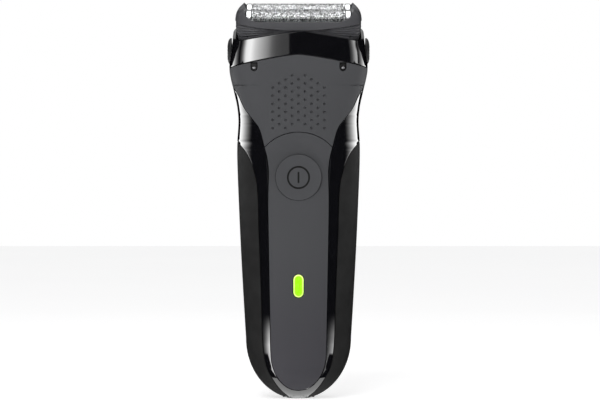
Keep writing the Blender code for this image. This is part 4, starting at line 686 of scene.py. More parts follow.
def disc(radius, middle=(0, 0), start=0.0, end=math.tau, steps=32):
    """Points of a circle, or of an arc of it."""
    count = steps if end - start >= math.tau - 1e-9 else steps + 1
    angles = [start + (end - start) * k / steps for k in range(count)]
    return [(middle[0] + radius * math.cos(a), middle[1] + radius * math.sin(a)) for a in angles]


def capsule(half_wide, half_tall, middle=(0, 0), steps=14):
    """A slot's outline, upright if it is taller than it is wide."""
    a, b = middle
    if half_tall >= half_wide:
        straight = half_tall - half_wide
        top = disc(half_wide, (a, b + straight), 0, math.pi, steps)
        return top + disc(half_wide, (a, b - straight), math.pi, math.tau, steps)
    return [(a + y, b - x) for x, y in capsule(half_tall, half_wide, steps=steps)]


def soft_box(half_a, half_b, power, steps):
    """A rectangle with soft corners."""
    points = []
    for angle in spread(0, math.tau, steps)[:-1]:
        c, s = math.cos(angle), math.sin(angle)
        size = (abs(c) ** power + abs(s) ** power) ** (-1 / power)
        points.append((half_a * c * size, half_b * s * size))
    return points


def finish(piece, slot, body, *replaced, look=None):
    """Gives a finished piece its material and its body, and hides the nodes that it stands for."""
    piece.data.materials.clear()
    piece.data.materials.append(LOOKS[look or slot])
    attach(piece, body)
    if replaced:
        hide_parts(*replaced)
    return piece


# ---- Settings ------------------------------------------------------------------------------------------------
def size_of(name, description, value):
    return bpy.props.FloatProperty(
        name=name, description=description, default=value, min=0, unit="LENGTH", subtype="DISTANCE", precision=5
    )


def colour_of(name, description, value):
    return bpy.props.FloatVectorProperty(
        name=name, description=description, default=value, min=0, max=1, size=3, subtype="COLOR"
    )


class ShaverSizes(bpy.types.PropertyGroup):
    """Sizes of the details"""

    edge: size_of("Edge round", "Radius of the panels' edges", 0.22 * MM)
    dish: size_of("Dish depth", "Depth of the thumb dish round the button", 1.15 * MM)
    dimple: size_of("Dimple radius", "Radius of one dimple above the button", 0.58 * MM)
    dimple_depth: size_of("Dimple depth", "Depth of one dimple", 0.55 * MM)
    dimple_across: size_of("Dimple columns", "Distance between two columns of dimples", 2.59 * MM)
    dimple_up: size_of("Dimple rows", "Distance between two dimples of a column", 3.25 * MM)
    foil_hole: size_of("Foil hole", "Radius of a hole in the foils", 0.35 * MM)
    foil_cell: size_of("Foil cell", "Distance between two holes along a foil", 0.93 * MM)
    rib: size_of("Rib pitch", "Distance between two ribs of a release button", 1.25 * MM)


class ShaverColours(bpy.types.PropertyGroup):
    """Colours of the finishes"""

    gloss: colour_of("Gloss black", "Glossy band and collar", (0.004, 0.004, 0.005))
    panel: colour_of("Panel", "Matte grey of the front panels", (0.056, 0.057, 0.061))
    # painted shade: the panel's colour near its foot, darker because less light falls there
    panel_foot_painted_shade: colour_of("Panel foot", "The panel's shade near the foot", (0.042, 0.040, 0.048))
    grip: colour_of("Grip", "Soft rubber of the grips", (0.013, 0.013, 0.013))
    cassette: colour_of("Cassette", "Plastic of the foil cassette", (0.055, 0.055, 0.06))
    dark: colour_of("Dark plastic", "Rear cover, release buttons and inlet", (0.016, 0.016, 0.017))
    steel: colour_of("Steel", "Foils and trimmer", (0.72, 0.73, 0.74))
    lamp: colour_of("Lamp", "Colour of the lit window", (0.26, 0.74, 0.0))
    # also the colour of the painted highlight along the rim's top
    lamp_rim: colour_of("Lamp rim", "Paler rim of the window", (0.72, 0.95, 0.25))
    lamp_glow: bpy.props.FloatProperty(
        name="Lamp glow", description="Strength of the lamp's own light", default=1.0, min=0
    )


def sizes():
    return bpy.context.scene.shaver_sizes


# ---- Casing pieces -------------------------------------------------------------------------------------------
def settle(z_of, x_of):
    """The height at which a line that depends on x crosses a column whose x depends on the height."""
    z = z_of(x_of(LENGTH))
    for _ in range(12):
        z = z_of(x_of(z))
    return z


def disc_map(s, t):
    """A point of the unit square as a point of the unit disc: its angle and its distance from the middle."""
    reach = max(abs(s), abs(t))
    if reach < 1e-9:
        return 0.0, 0.0
    if abs(s) >= abs(t):
        angle = math.pi / 4 * (t / s) + (0 if s > 0 else math.pi)
    else:
        angle = math.pi / 2 - math.pi / 4 * (s / t) + (0 if t > 0 else math.pi)
    return angle, reach


def dish(x, z):
    """How far the thumb dish sinks the panel at x and z."""
    away = math.hypot(x, z - BUTTON_Z)
    if away < 1e-9:
        return sizes().dish
    ring = 1 - ease(0.62, 1.0, away / THUMB_ARC)
    upper = ease(-0.75, 0.35, (z - BUTTON_Z) / away)
    return sizes().dish * ring * (0.25 + 0.75 * upper)


def lamp_room(grow):
    outline = capsule(LAMP_HALF_WIDTH + grow, LAMP_HALF_LENGTH + grow, (0, LAMP_Z))
    return solid("lamp_room", outline, -FAR, 0, along_y)


class SHAVER_OT_front_panel(bpy.types.Operator):
    """Lower grey panel with the thumb dish and the holes for the button and the lamp"""

    bl_idname = "shaver.front_panel"
    bl_label = "Front panel"

    def execute(self, context):
        radius = THUMB_ARC - GAP / 2

        def place(s, t):
            share = math.sin(s * math.pi / 2)
            foot = PANEL_FOOT + PANEL_ARCH * (1 - math.cos(s * math.pi / 2))

            def x_at(z):
                return share * panel_edge(max(z, PANEL_FOOT + PANEL_ARCH))

            top = settle(lambda x: BUTTON_Z + math.sqrt(radius**2 - min(x * x, (0.98 * radius) ** 2)), x_at)
            z = foot + (top - foot) * (t + 1) / 2
            x = x_at(z)
            return on_face(x, z, -1, dish(x, z))

        panel = wall(sheet("front_panel_shell", 44, 130, place), PANEL)
        hole = solid("button_room", disc(BUTTON_RADIUS + 0.14 * MM, (0, BUTTON_Z), steps=72), -FAR, 0, along_y)
        cut(panel, hole, lamp_room(GAP * 0.8))
        finish(rounded(panel, sizes().edge), "matte_grey", "handle", "front_panel")
        return {"FINISHED"}


def dimple_spots():
    """Where the dimples sit: staggered columns under an arched top, clear of the arc round the button."""
    across, up = sizes().dimple_across, sizes().dimple_up
    spots = []
    for column in range(-4, 5):
        x = column * across
        top = 131.6 * MM - 3.4 * MM * (abs(x) / (10.4 * MM)) ** 2
        low = BUTTON_Z + math.sqrt(THUMB_ARC**2 - x * x) + 2.2 * MM
        for row in range(12):
            z = 105.6 * MM + (row + (column % 2) / 2) * up
            if low < z < top:
                spots.append((x, z))
    return spots


def dimple_cutters():
    """One small ball for each dimple, all in one mesh."""
    radius, depth = sizes().dimple, sizes().dimple_depth
    ball = (radius**2 + depth**2) / (2 * depth)
    bpy.ops.object.select_all(action="DESELECT")
    bpy.ops.mesh.primitive_uv_sphere_add(segments=14, ring_count=9, radius=ball)
    first = bpy.context.object
    shape = [v.co.copy() for v in first.data.vertices]
    faces = [tuple(p.vertices) for p in first.data.polygons]
    bpy.data.objects.remove(first)
    corners, loops = [], []
    for x, z in dimple_spots():
        middle = on_face(x, z, -1)
        across = on_face(x + 0.5 * MM, z, -1) - on_face(x - 0.5 * MM, z, -1)
        up = on_face(x, z + 0.5 * MM, -1) - on_face(x, z - 0.5 * MM, -1)
        out = across.cross(up).normalized()
        start = len(corners)
        corners += [middle + out * (ball - depth) + Vector((p.x, p.z, p.y)) for p in shape]
        loops += [[start + k for k in face] for face in faces]
    data = bpy.data.meshes.new("dimple_cutters")
    data.from_pydata(corners, [], loops)
    made = bpy.data.objects.new("dimple_cutters", data)
    bpy.context.scene.collection.objects.link(made)
    return in_edit(made, face_outwards)


def catch_outline(sign, grow):
    """A tongue with a round end that hangs from the thumb panel's upper edge."""
    x, wide = sign * 17.8 * MM, 1.15 * MM + grow
    top = collar_foot(x) - GAP - 0.4 * MM
    end = disc(wide, (x, top - 1.85 * MM), math.pi, math.tau, 10)
    return end + [(x + wide, top + grow), (x - wide, top + grow)]


class SHAVER_OT_thumb_panel(bpy.types.Operator):
    """Upper grey panel with its dimples and the two notches for the cap's catches"""

    bl_idname = "shaver.thumb_panel"
    bl_label = "Thumb panel"

    def execute(self, context):
        radius = THUMB_ARC + GAP / 2

        def place(s, t):
            def x_at(z):
                wide = min(panel_edge(z), half_width(z))
                return skin(-math.pi / 2 + s * (turn_at(wide, z, -1) + math.pi / 2), z).x

            low = settle(lambda x: BUTTON_Z + math.sqrt(radius**2 - min(x * x, (0.98 * radius) ** 2)), x_at)
            top = settle(lambda x: collar_foot(x) - GAP, x_at)
            z = low + (top - low) * (t + 1) / 2
            wide = min(panel_edge(z), half_width(z))
            return skin(-math.pi / 2 + s * (turn_at(wide, z, -1) + math.pi / 2), z)

        panel = wall(sheet("thumb_panel_shell", 84, 64, place), PANEL)
        rooms = [solid("catch_room", catch_outline(sign, GAP * 0.8), -FAR, 0, along_y) for sign in (-1, 1)]
        cut(panel, dimple_cutters(), *rooms)
        finish(rounded(panel, 0.12 * MM), "matte_grey", "handle", "thumb_panel")
        return {"FINISHED"}


def band_rows(side):
    """Heights of the housings' rows, closer where the outlines turn."""
    foot, tall = (PANEL_FOOT - GAP, PANEL_ARCH + GAP) if side < 0 else (9 * MM - GAP, 12 * MM)
    rows = [24.5 * MM * (1 - math.cos(a)) for a in spread(0, math.pi / 2, 22)]
    rows += [foot + tall * (1 - math.cos(a)) for a in spread(0, math.pi / 2, 14)]
    rows += spread(24.5 * MM, 126 * MM, 62) + spread(95 * MM, 114 * MM, 19)
    rows += [GRIP_FOOT - GAP * 0.8, GRIP_FOOT - GAP]
    rows = sorted(rows)
    kept = rows[:1]
    for z in rows[1:]:
        if z - kept[-1] > 0.16 * MM:
            kept.append(z)
    return kept + spread(127 * MM, 140 * MM, 10)


def housing(name, side, inner_at, node):
    """A glossy half of the casing with the pockets for its panel or cover and for the grips."""
    rows = band_rows(side)
    band = 16

    def columns(z):
        """Angle and depth of each column from the middle of this face to the parting line."""
        wide = half_width(z)
        inner = min(inner_at(z), wide)
        outer = wide if z < GRIP_FOOT - GAP * 0.9 else min(grip_edge(z) - GAP, wide)
        outer = max(outer, inner)
        middle, parting = side * math.pi / 2, 0.0
        inner_turn, outer_turn = turn_at(inner, z, side), turn_at(outer, z, side)
        inner_deep = POCKET if inner > 1e-5 else 0.0
        outer_deep = POCKET if outer < wide - 1e-5 else 0.0
        made = [(middle + (inner_turn - middle) * k / 3, inner_deep) for k in range(4)]
        made += [(inner_turn + (outer_turn - inner_turn) * k / band, 0.0) for k in range(band + 1)]
        made += [(outer_turn + (parting - outer_turn) * k / 3, outer_deep) for k in range(4)]
        return made

    count = len(columns(50 * MM)) - 1
    found = {}

    def over_inlet(z, k):
        point = skin(columns(z)[k][0], z)
        return math.hypot(max(abs(point.x) - 2.3 * MM, 0), point.y - PARTING_Y) < 4 * MM + GAP

    def height(row, k):
        """The row's height here: rows near the foot start at the inlet, and high ones end at the collar."""
        if row < 3 * MM:
            low, high = 0.0, 3 * MM
            for _ in range(18 if over_inlet(0, k) else 0):
                z = (low + high) / 2
                low, high = (z, high) if over_inlet(z, k) else (low, z)
            return low + row * (1 - low / (3 * MM))
        z = row
        if row > 126 * MM:
            share = (row - 126 * MM) / (14 * MM)
            for _ in range(6):
                angle, _ = columns(z)[k]
                z = 126 * MM + (collar_foot(skin(angle, z).x) - GAP - 126 * MM) * share
        return z

    def place(s, t):
        row, k = round((t + 1) / 2 * (len(rows) - 1)), round(abs(s) * count)
        if (k, row) not in found:
            z = height(rows[row], k)
            angle, deep = columns(z)[k]
            found[k, row] = skin(angle, z, deep)
        point = found[k, row].copy()
        point.x *= -1 if s < 0 else 1
        return point

    made = wall(sheet(name, 2 * count, len(rows) - 1, place), 0.9 * MM)
    for corner in made.data.vertices:
        corner.co.z = max(0.02 * MM, corner.co.z)
    return finish(rounded(made, 0.2 * MM), "gloss_black", "handle", node)


class SHAVER_OT_housings(bpy.types.Operator):
    """Glossy front and rear housings, which show as the band round the panels"""

    bl_idname = "shaver.housings"
    bl_label = "Glossy housings"

    def execute(self, context):
        def panel_inner(z):
            return panel_half_width(z, GAP) if z > PANEL_FOOT - GAP else 0.0

        housing("front_band", -1, panel_inner, "front_housing")
        housing("rear_band", 1, lambda z: cover_half_width(z, GAP), "rear_housing")
        return {"FINISHED"}


class SHAVER_OT_grips(bpy.types.Operator):
    """Soft grips that wrap round both sides of the handle"""

    bl_idname = "shaver.grips"
    bl_label = "Soft grips"

    def execute(self, context):
        def turn(s, z):
            edge = grip_edge(min(z, GRIP_SHOULDER))
            side = -1 if s < 0 else 1
            return abs(s) * turn_at(min(edge, half_width(z)), z, side)

        tops = {}

        def top_of(s):
            if s not in tops:
                low, high = GRIP_SHOULDER, GRIP_TOP
                for _ in range(30):
                    z = (low + high) / 2
                    low, high = (z, high) if skin(turn(s, z), z).x > grip_edge(z) else (low, z)
                tops[s] = low
            return tops[s]

        def place(s, t):
            s = math.sin(s * math.pi / 2)
            share = 1 - math.cos((t + 1) * math.pi / 4)
            share = 0.55 * share + 0.45 * (t + 1) / 2
            z = GRIP_FOOT + (top_of(round(s, 6)) - GRIP_FOOT) * share
            return skin(turn(s, z), z)

        right = wall(sheet("grip_right", 60, 120, place), PANEL, lambda point: Vector((1, 0, 0)))
        inlet = capsule(6.3 * MM + GAP, 4 * MM + GAP, (0, PARTING_Y), 20)
        cut(right, solid("inlet_room", inlet, -5 * MM, 10.7 * MM, lambda x, y, z: (x, y, z)))
        rounded(right, 0.3 * MM)
        left = right.copy()
        left.data = right.data.copy()
        left.name = left.data.name = "grip_left"
        bpy.context.scene.collection.objects.link(left)
        for corner in left.data.vertices:
            corner.co.x *= -1
        in_edit(left, face_outwards)
        rounded(left, 0)
        finish(right, "soft_grip", "handle", "right_grip")
        finish(left, "soft_grip", "handle", "left_grip")
        return {"FINISHED"}


class SHAVER_OT_rear_cover(bpy.types.Operator):
    """Cover on the back, with the flat that the shaver rests on"""

    bl_idname = "shaver.rear_cover"
    bl_label = "Rear cover"

    def execute(self, context):
        foot, top = 9 * MM, LENGTH + 8 * MM

        def place(s, t):
            angle, reach = disc_map(s, t)
            c, sn = math.cos(angle), math.sin(angle)
            size = (abs(c) ** 3.4 + abs(sn) ** 3.4) ** (-1 / 3.4) * reach
            x = 0.47 * HALF_WIDTH * c * size
            z = (foot + top) / 2 + (top - foot) / 2 * sn * size
            groove = 0.0
            if 26 * MM < z < 60 * MM:
                wave = (1 + math.cos((z - 26 * MM) / (2.6 * MM) * math.tau)) / 2
                groove = 0.35 * MM * (1 - wave) ** 3 * (1 - ease(6.5 * MM, 9.0 * MM, abs(x)))
            point = on_face(x, z, 1, groove)
            point.y = min(point.y, BACK_FLAT)
            return point

        cover = wall(sheet("rear_cover_shell", 36, 200, place), PANEL, lambda p: Vector((0, 1, 0)))
        finish(rounded(cover, sizes().edge), "dark_plastic", "handle", "rear_cover")
        return {"FINISHED"}


class SHAVER_OT_power_button(bpy.types.Operator):
    """Round key with its engraved on-off ring"""

    bl_idname = "shaver.power_button"
    bl_label = "Power button"

    def execute(self, context):
        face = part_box("power_button")[0].y

        def key_y(x, z):
            away = math.hypot(x, z - BUTTON_Z) / BUTTON_RADIUS
            return face + 0.12 * MM + 0.16 * MM * (1 - away**2)

        def place(s, t):
            angle, reach = disc_map(s, t)
            x, z = BUTTON_RADIUS * reach * math.cos(angle), BUTTON_Z + BUTTON_RADIUS * reach * math.sin(angle)
            return Vector((x, key_y(x, z), z))

        key = wall(sheet("power_key_cap", 36, 36, place), 1.05 * MM, lambda p: Vector((0, -1, 0)))
        ring_low, ring_high = 3.9 * MM, 4.65 * MM
        groove = cut(
            solid("ring_groove", disc(ring_high, (0, BUTTON_Z), steps=64), -FAR, face + 0.5 * MM, along_y),
            solid("ring_core", disc(ring_low, (0, BUTTON_Z), steps=64), -FAR * 1.1, FAR, along_y),
        )
        bar = solid("bar_groove", capsule(0.38 * MM, 2.3 * MM, (0, BUTTON_Z)), -FAR, face + 0.5 * MM, along_y)
        cut(key, groove, bar)
        finish(rounded(key, 0.14 * MM), "matte_grey", "power_key", "power_button")
        mark_low, mark_high = face + 0.42 * MM, face + 0.9 * MM
        circle = disc(ring_high - 0.03 * MM, (0, BUTTON_Z), steps=64)
        ring = cut(
            solid("power_mark", circle, mark_low, mark_high, along_y),
            solid("ring_core", disc(ring_low + 0.03 * MM, (0, BUTTON_Z), steps=64), -FAR, FAR, along_y),
        )
        join(ring, solid("bar", capsule(0.35 * MM, 2.27 * MM, (0, BUTTON_Z)), mark_low, mark_high, along_y))
        finish(rounded(ring, 0.04 * MM), "seal_rubber", "power_key", look="print_black_and_painted_shade")
        return {"FINISHED"}


class SHAVER_OT_lamp(bpy.types.Operator):
    """Green window in its thin dark surround"""

    bl_idname = "shaver.lamp"
    bl_label = "Lamp"

    def execute(self, context):
        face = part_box("light_guide")[0].y
        outline = capsule(LAMP_HALF_WIDTH - 0.05 * MM, LAMP_HALF_LENGTH - 0.05 * MM, (0, LAMP_Z), 20)
        lamp = solid("lamp_window", outline, face, face + 2.4 * MM, along_y)
        finish(rounded(lamp, 0.42 * MM, 4, 60), "lamp_green", "handle", "light_guide")
        return {"FINISHED"}


# ---- Head pieces ---------------------------------------------------------------------------------------------
def release_outline(grow):
    """The release button's outline in v and w."""
    tall, middle = (RELEASE_TOP - RELEASE_FOOT) / 2, (RELEASE_TOP + RELEASE_FOOT) / 2
    return [(v, middle + w) for v, w in soft_box(RELEASE_HALF_DEPTH + grow, tall + grow, 3.2, 48)]


class SHAVER_OT_collar(bpy.types.Operator):
    """Glossy collar that the cassette drops into"""

    bl_idname = "shaver.collar"
    bl_label = "Collar"

    def execute(self, context):
        into_head = HEAD_FRAME.inverted()

        def place(s, t):
            angle = s * math.pi
            low, high = LENGTH + 25 * MM, LENGTH + 58 * MM
            foot = settle(collar_foot, lambda z: skin(angle, z).x)
            for _ in range(30):
                z = (low + high) / 2
                point = into_head @ skin(angle, z)
                low, high = (z, high) if point.z < collar_rim(point.x) else (low, z)
            z = foot + (low - foot) * (t + 1) / 2
            return skin(angle, z)

        collar = wall(sheet("collar_shell", 224, 26, place), COLLAR_WALL)
        for sign in (-1, 1):
            low, high = sorted((sign * 25.2 * MM, sign * FAR))
            cut(collar, solid("release_room", release_outline(GAP * 0.8), low, high, head_end))
        finish(rounded(collar, 0.3 * MM, 3), "gloss_black", "handle", "head_frame")
        floor = solid("release_floors", release_outline(GAP * 0.8 + 0.9 * MM), -25.9 * MM, 25.9 * MM, head_end)
        outline = [(v * 0.999, w) for v, w in release_outline(2 * MM)]
        inner = solid("inner", outline, -25.2 * MM, 25.2 * MM, head_end)
        cut(floor, inner)
        finish(rounded(floor, 0.1 * MM), "dark_plastic", "handle")
        return {"FINISHED"}


class SHAVER_OT_release_buttons(bpy.types.Operator):
    """Ribbed buttons on both sides of the collar"""

    bl_idname = "shaver.release_buttons"
    bl_label = "Release buttons"

    def execute(self, context):
        for word, sign in (("left", -1), ("right", 1)):
            middle = Vector((0, (RELEASE_TOP + RELEASE_FOOT) / 2))
            rings = [(27.1, 0), (27.6, 0), (28.05, -0.35), (28.4, -0.95), (28.7, -2.0)]

            def ring_point(v, w, u):
                reach, grow = rings[round(u)]
                tall = (RELEASE_TOP - RELEASE_FOOT) / 2
                scale_v = 1 + grow * MM / RELEASE_HALF_DEPTH
                scale_w = 1 + grow * MM / tall
                return in_head(sign * reach * MM, v * scale_v, middle.y + (w - middle.y) * scale_w)

            button = stack("release_cap_" + word, release_outline(0), len(rings), ring_point)
            grooves = []
            for k in range(6):
                w = RELEASE_FOOT + 1.5 * MM + k * sizes().rib
                low, high = sorted((sign * (RELEASE_FACE - 0.42 * MM), sign * (RELEASE_FACE + 1 * MM)))
                outline = [(-4.6 * MM, w), (4.6 * MM, w), (4.6 * MM, w + 0.62 * MM), (-4.6 * MM, w + 0.62 * MM)]
                grooves.append(solid("groove", outline, low, high, head_end))
            low, high = sorted((sign * 26 * MM, sign * (RELEASE_FACE - 0.9 * MM)))
            cut(button, *grooves, solid("hollow", release_outline(-1.3 * MM), low, high, head_end))
            stem_low, stem_high = sorted((sign * 22.7 * MM, sign * (RELEASE_FACE - 0.6 * MM)))
            stem = solid("stem", disc(1.1 * MM, (0, -5.6 * MM), steps=20), stem_low, stem_high, head_end)
            latch_low, latch_high = sorted((sign * 22.4 * MM, sign * 23.5 * MM))
            corners = (-2.5 * MM, -7.1 * MM, latch_low), (2.5 * MM, 1.5 * MM, latch_high)
            latch = block("latch", *corners, head_end)
            join(button, stem, latch)
            finish(rounded(button, 0.16 * MM), "dark_plastic", word + "_release", "release_button_" + word)
        return {"FINISHED"}


swell_u = smooth([(-2.2, -1.2), (3.2, -0.7), (5, -0.15), (8, 0), (10.4, -0.35), (12.4, -1.4), (14.5, -3.4)])
swell_v = smooth([(-2.2, -0.7), (3.2, -0.5), (5, -0.35), (8, 0), (10.4, -0.8), (12.4, -1.5), (14.5, -2.4)])
BAY = 21.3 * MM  # half length of the room for a foil with its polished ends
BAY_STEP = 6.7 * MM  # below this the rooms are shorter
BAY_RADIUS = FOIL_RADIUS + GAP


def bulge_edge(u):
    """w of the line where the cassette's smooth bulge ends and the ribbed band starts."""
    return 7.3 * MM + 2.1 * MM * (abs(u) / (23 * MM)) ** 1.6


def cheek_outline():
    """The cassette's end seen along u: a lobe over each foil and a notch between them for the trimmer."""
    deep, radius, centre = 14 * MM, 5.9 * MM, 8.4 * MM
    notch = 1.3 * MM
    start = math.pi - math.asin((WALL_TOP - centre) / radius)
    lobe = disc(radius, (-FOIL_V, centre), math.acos((FOIL_V - notch) / radius), start, 32)
    left = [(-deep, 2 * CASSETTE_FOOT), (-deep, WALL_TOP)] + list(reversed(lobe)) + [(-notch, 10 * MM)]
    return left + [(-v, w) for v, w in reversed(left)]


def smile_outline():
    """The opening over the foils, seen from the front: flat in the middle and curling up at both ends."""
    wide, tall = 6.6 * MM, 4.3 * MM
    curl = [
        (15.4 * MM + wide * math.sin(a), WALL_TOP + tall * (1 - math.cos(a)) ** 0.9)
        for a in spread(0, math.pi / 2, 16)
    ]
    right = curl + [(22.2 * MM, 16 * MM)]
    return [(-u, w) for u, w in reversed(right)] + right


class SHAVER_OT_cassette(bpy.types.Operator):
    """Dark cassette that carries the foils, with its ribbed lower band"""

    bl_idname = "shaver.cassette"
    bl_label = "Cassette"

    def execute(self, context):
        def place(s, t):
            w = CASSETTE_FOOT + (t + 1) / 2 * (14.5 * MM - CASSETTE_FOOT)
            angle = s * math.pi
            c, sn = math.cos(angle), math.sin(angle)
            size = (abs(c) ** 5 + abs(sn) ** 5) ** (-1 / 5)
            u = (25.6 * MM + swell_u(w / MM) * MM) * c * size
            v = (12.9 * MM + swell_v(w / MM) * MM) * sn * size
            edge = bulge_edge(u)
            band = max(0.5 * MM, edge - collar_rim(u))
            below = (edge - w) / band
            ribs = ease(4 * MM, 12 * MM, abs(u))
            step = 0.38 * MM * ease(0, 0.3 * MM, edge - w)
            wave = 0.36 * MM * ribs * (0.5 - 0.5 * math.cos(below * 5 * math.tau)) if 0 < below < 1 else 0
            shrink = step + wave
            return in_head(u * (1 - shrink / (25.6 * MM)), v * (1 - shrink / (12.9 * MM)), w)

        body = sheet("cassette_body", 240, 120, place)
        in_edit(body, lambda: bpy.ops.mesh.fill_holes(sides=0), face_outwards)
        low = CASSETTE_FOOT + 1.3 * MM
        keep(body, solid("cheeks", cheek_outline(), -FAR, FAR, head_end))
        bays = []
        for side in (-1, 1):
            v = side * FOIL_V
            top = disc(BAY_RADIUS, (v, FOIL_CENTRE), 0, math.pi, 40)
            upper = top + [(v - BAY_RADIUS, BAY_STEP), (v + BAY_RADIUS, BAY_STEP)]
            bays.append(solid("bay", upper, -BAY, BAY, head_end))
            corners = (-20.9 * MM, v - 4.83 * MM, low), (20.9 * MM, v + 4.83 * MM, BAY_STEP + 1 * MM)
            bays.append(block("lower_bay", *corners, in_head))
        latches = []
        for sign in (-1, 1):
            u_low, u_high = sorted((sign * 21.2 * MM, sign * 23.8 * MM))
            latches.append(block("latch_room", (u_low, -2.8 * MM, -FAR), (u_high, 2.8 * MM, 1.8 * MM), in_head))
        cut(
            body,
            solid("smile", smile_outline(), -FAR, FAR, head_face),
            *bays,
            block("trimmer_bay", (-20.8 * MM, -FOIL_V, low * 0.8), (20.8 * MM, FOIL_V, FOIL_CENTRE), in_head),
            block("trimmer_slot", (-23.5 * MM, -1.3 * MM, 0), (23.5 * MM, 1.3 * MM, FAR), in_head),
            block("drive_room", (-17.7 * MM, -10 * MM, -FAR), (17.7 * MM, 10 * MM, 0), in_head),
            *latches,
        )
        finish(rounded(body, 0.2 * MM), "cassette_grey", "cassette", "cassette_frame")
        return {"FINISHED"}


ARCH_HALF = FOIL_RADIUS * math.pi / 2  # from a foil's crest to where its straight legs start
LEG = 3.9 * MM


def on_foil(u, along, side, proud=0.0):
    """The point of a foil at this distance along its arch from the crest."""
    v, radius = side * FOIL_V, FOIL_RADIUS + proud
    if abs(along) > ARCH_HALF:
        return in_head(u, v + math.copysign(radius, along), FOIL_CENTRE - abs(along) + ARCH_HALF)
    angle = along / FOIL_RADIUS
    return in_head(u, v + radius * math.sin(angle), FOIL_CENTRE + radius * math.cos(angle))


def foil_net(name, side):
    """The perforated part of a foil: one hexagon with its hole, repeated and bent over the arch."""
    pitch = sizes().foil_cell
    corner = pitch / math.sqrt(3)
    across, rows = int(36.7 * MM / pitch), 11
    bpy.ops.object.select_all(action="DESELECT")
    bpy.ops.mesh.primitive_circle_add(vertices=6, radius=corner, fill_type="NGON")
    net = bpy.context.object
    net.name = net.data.name = name
    rim = pitch / 2 - sizes().foil_hole
    in_edit(
        net,
        lambda: bpy.ops.mesh.select_mode(type="FACE"),
        lambda: bpy.ops.mesh.inset(thickness=rim),
        lambda: bpy.ops.mesh.delete(type="FACE"),
        lambda: bpy.ops.mesh.select_mode(type="VERT"),
    )
    along, stagger, over = (pitch, 0, 0), (pitch / 2, 1.5 * corner, 0), (0, 3 * corner, 0)
    for count, offset in ((across, along), (2, stagger), (rows, over)):
        modify(
            net, "ARRAY", count=count, use_relative_offset=False, use_constant_offset=True,
            constant_offset_displace=offset, use_merge_vertices=True, merge_threshold=1e-5,
        )  # fmt: skip
    xs = [v.co.x for v in net.data.vertices]
    ys = [v.co.y for v in net.data.vertices]
    middle = (min(xs) + max(xs)) / 2, (min(ys) + max(ys)) / 2
    for corner in net.data.vertices:
        corner.co = on_foil(corner.co.x - middle[0], corner.co.y - middle[1], side)
    axis = in_head(0, side * FOIL_V, FOIL_CENTRE - 3 * MM)
    net = wall(net, 0.16 * MM, lambda p: Vector((0, p.y - axis.y, p.z - axis.z)))
    return rounded(net, 0), (max(xs) - min(xs)) / 2, (max(ys) - min(ys)) / 2


def foil_margin(name, side, u_low, u_high, low, high):
    """A plain strip along a foil's edge."""

    def place(s, t):
        along = low + (high - low) * (t + 1) / 2
        return on_foil(u_low + (u_high - u_low) * (s + 1) / 2, along, side, 0.03 * MM)

    axis = in_head(0, side * FOIL_V, FOIL_CENTRE - 3 * MM)
    strip = sheet(name, 4 if u_high - u_low < 5 * MM else 24, 64 if high - low > 9 * MM else 8, place)
    return wall(strip, 0.2 * MM, lambda p: Vector((0, p.y - axis.y, p.z - axis.z)))


class SHAVER_OT_foils(bpy.types.Operator):
    """Perforated foils with their plain margins and polished end arches"""

    bl_idname = "shaver.foils"
    bl_label = "Foils"

    def execute(self, context):
        for word, side in (("front", -1), ("rear", 1)):
            body = word + "_foil_unit"
            net, half_long, half_wide = foil_net(word + "_foil_net", side)
            finish(net, "foil_steel", body, word + "_foil", look="foil_net")
            inside, over = half_long - 0.25 * MM, half_wide - 0.5 * MM
            end = ARCH_HALF + LEG
            strips = []
            for sign in (-1, 1):
                low, high = sorted((sign * inside, sign * FOIL_HALF_LENGTH))
                strips.append(foil_margin("margin", side, low, high, -end, end))
                low, high = sorted((sign * over, sign * end))
                strips.append(foil_margin("margin", side, -inside, inside, low, high))
            alone(strips[0])
            for strip in strips:
                strip.select_set(True)
            bpy.ops.object.join()
            strips[0].name = strips[0].data.name = word + "_foil_margin"
            finish(rounded(strips[0], 0.05 * MM), "foil_steel", body, look="foil_net")
            v, radius = side * FOIL_V, FOIL_RADIUS - 0.02 * MM
            foot = BAY_STEP + 1.75 * MM
            outline = disc(radius, (v, FOIL_CENTRE), 0, math.pi, 40) + [(v - radius, foot), (v + radius, foot)]
            inner, outer = FOIL_HALF_LENGTH + 0.12 * MM, BAY - 0.25 * MM
            ends = solid(word + "_foil_ends", outline, inner, outer, head_end)
            other = solid("other_end", outline, -outer, -inner, head_end)
            rounded(ends, 0.55 * MM, 4, 60)
            rounded(other, 0.55 * MM, 4, 60)
            rails = [
                block("rail", (-20.6 * MM, v + a, 4.2 * MM), (20.6 * MM, v + b, foot + 0.4 * MM), in_head)
                for a, b in ((-4 * MM, -3.1 * MM), (3.1 * MM, 4 * MM))
            ]
            join(ends, other, *rails)
            finish(rounded(ends, 0), "polished_steel", body, word + "_foil_holder")
        return {"FINISHED"}


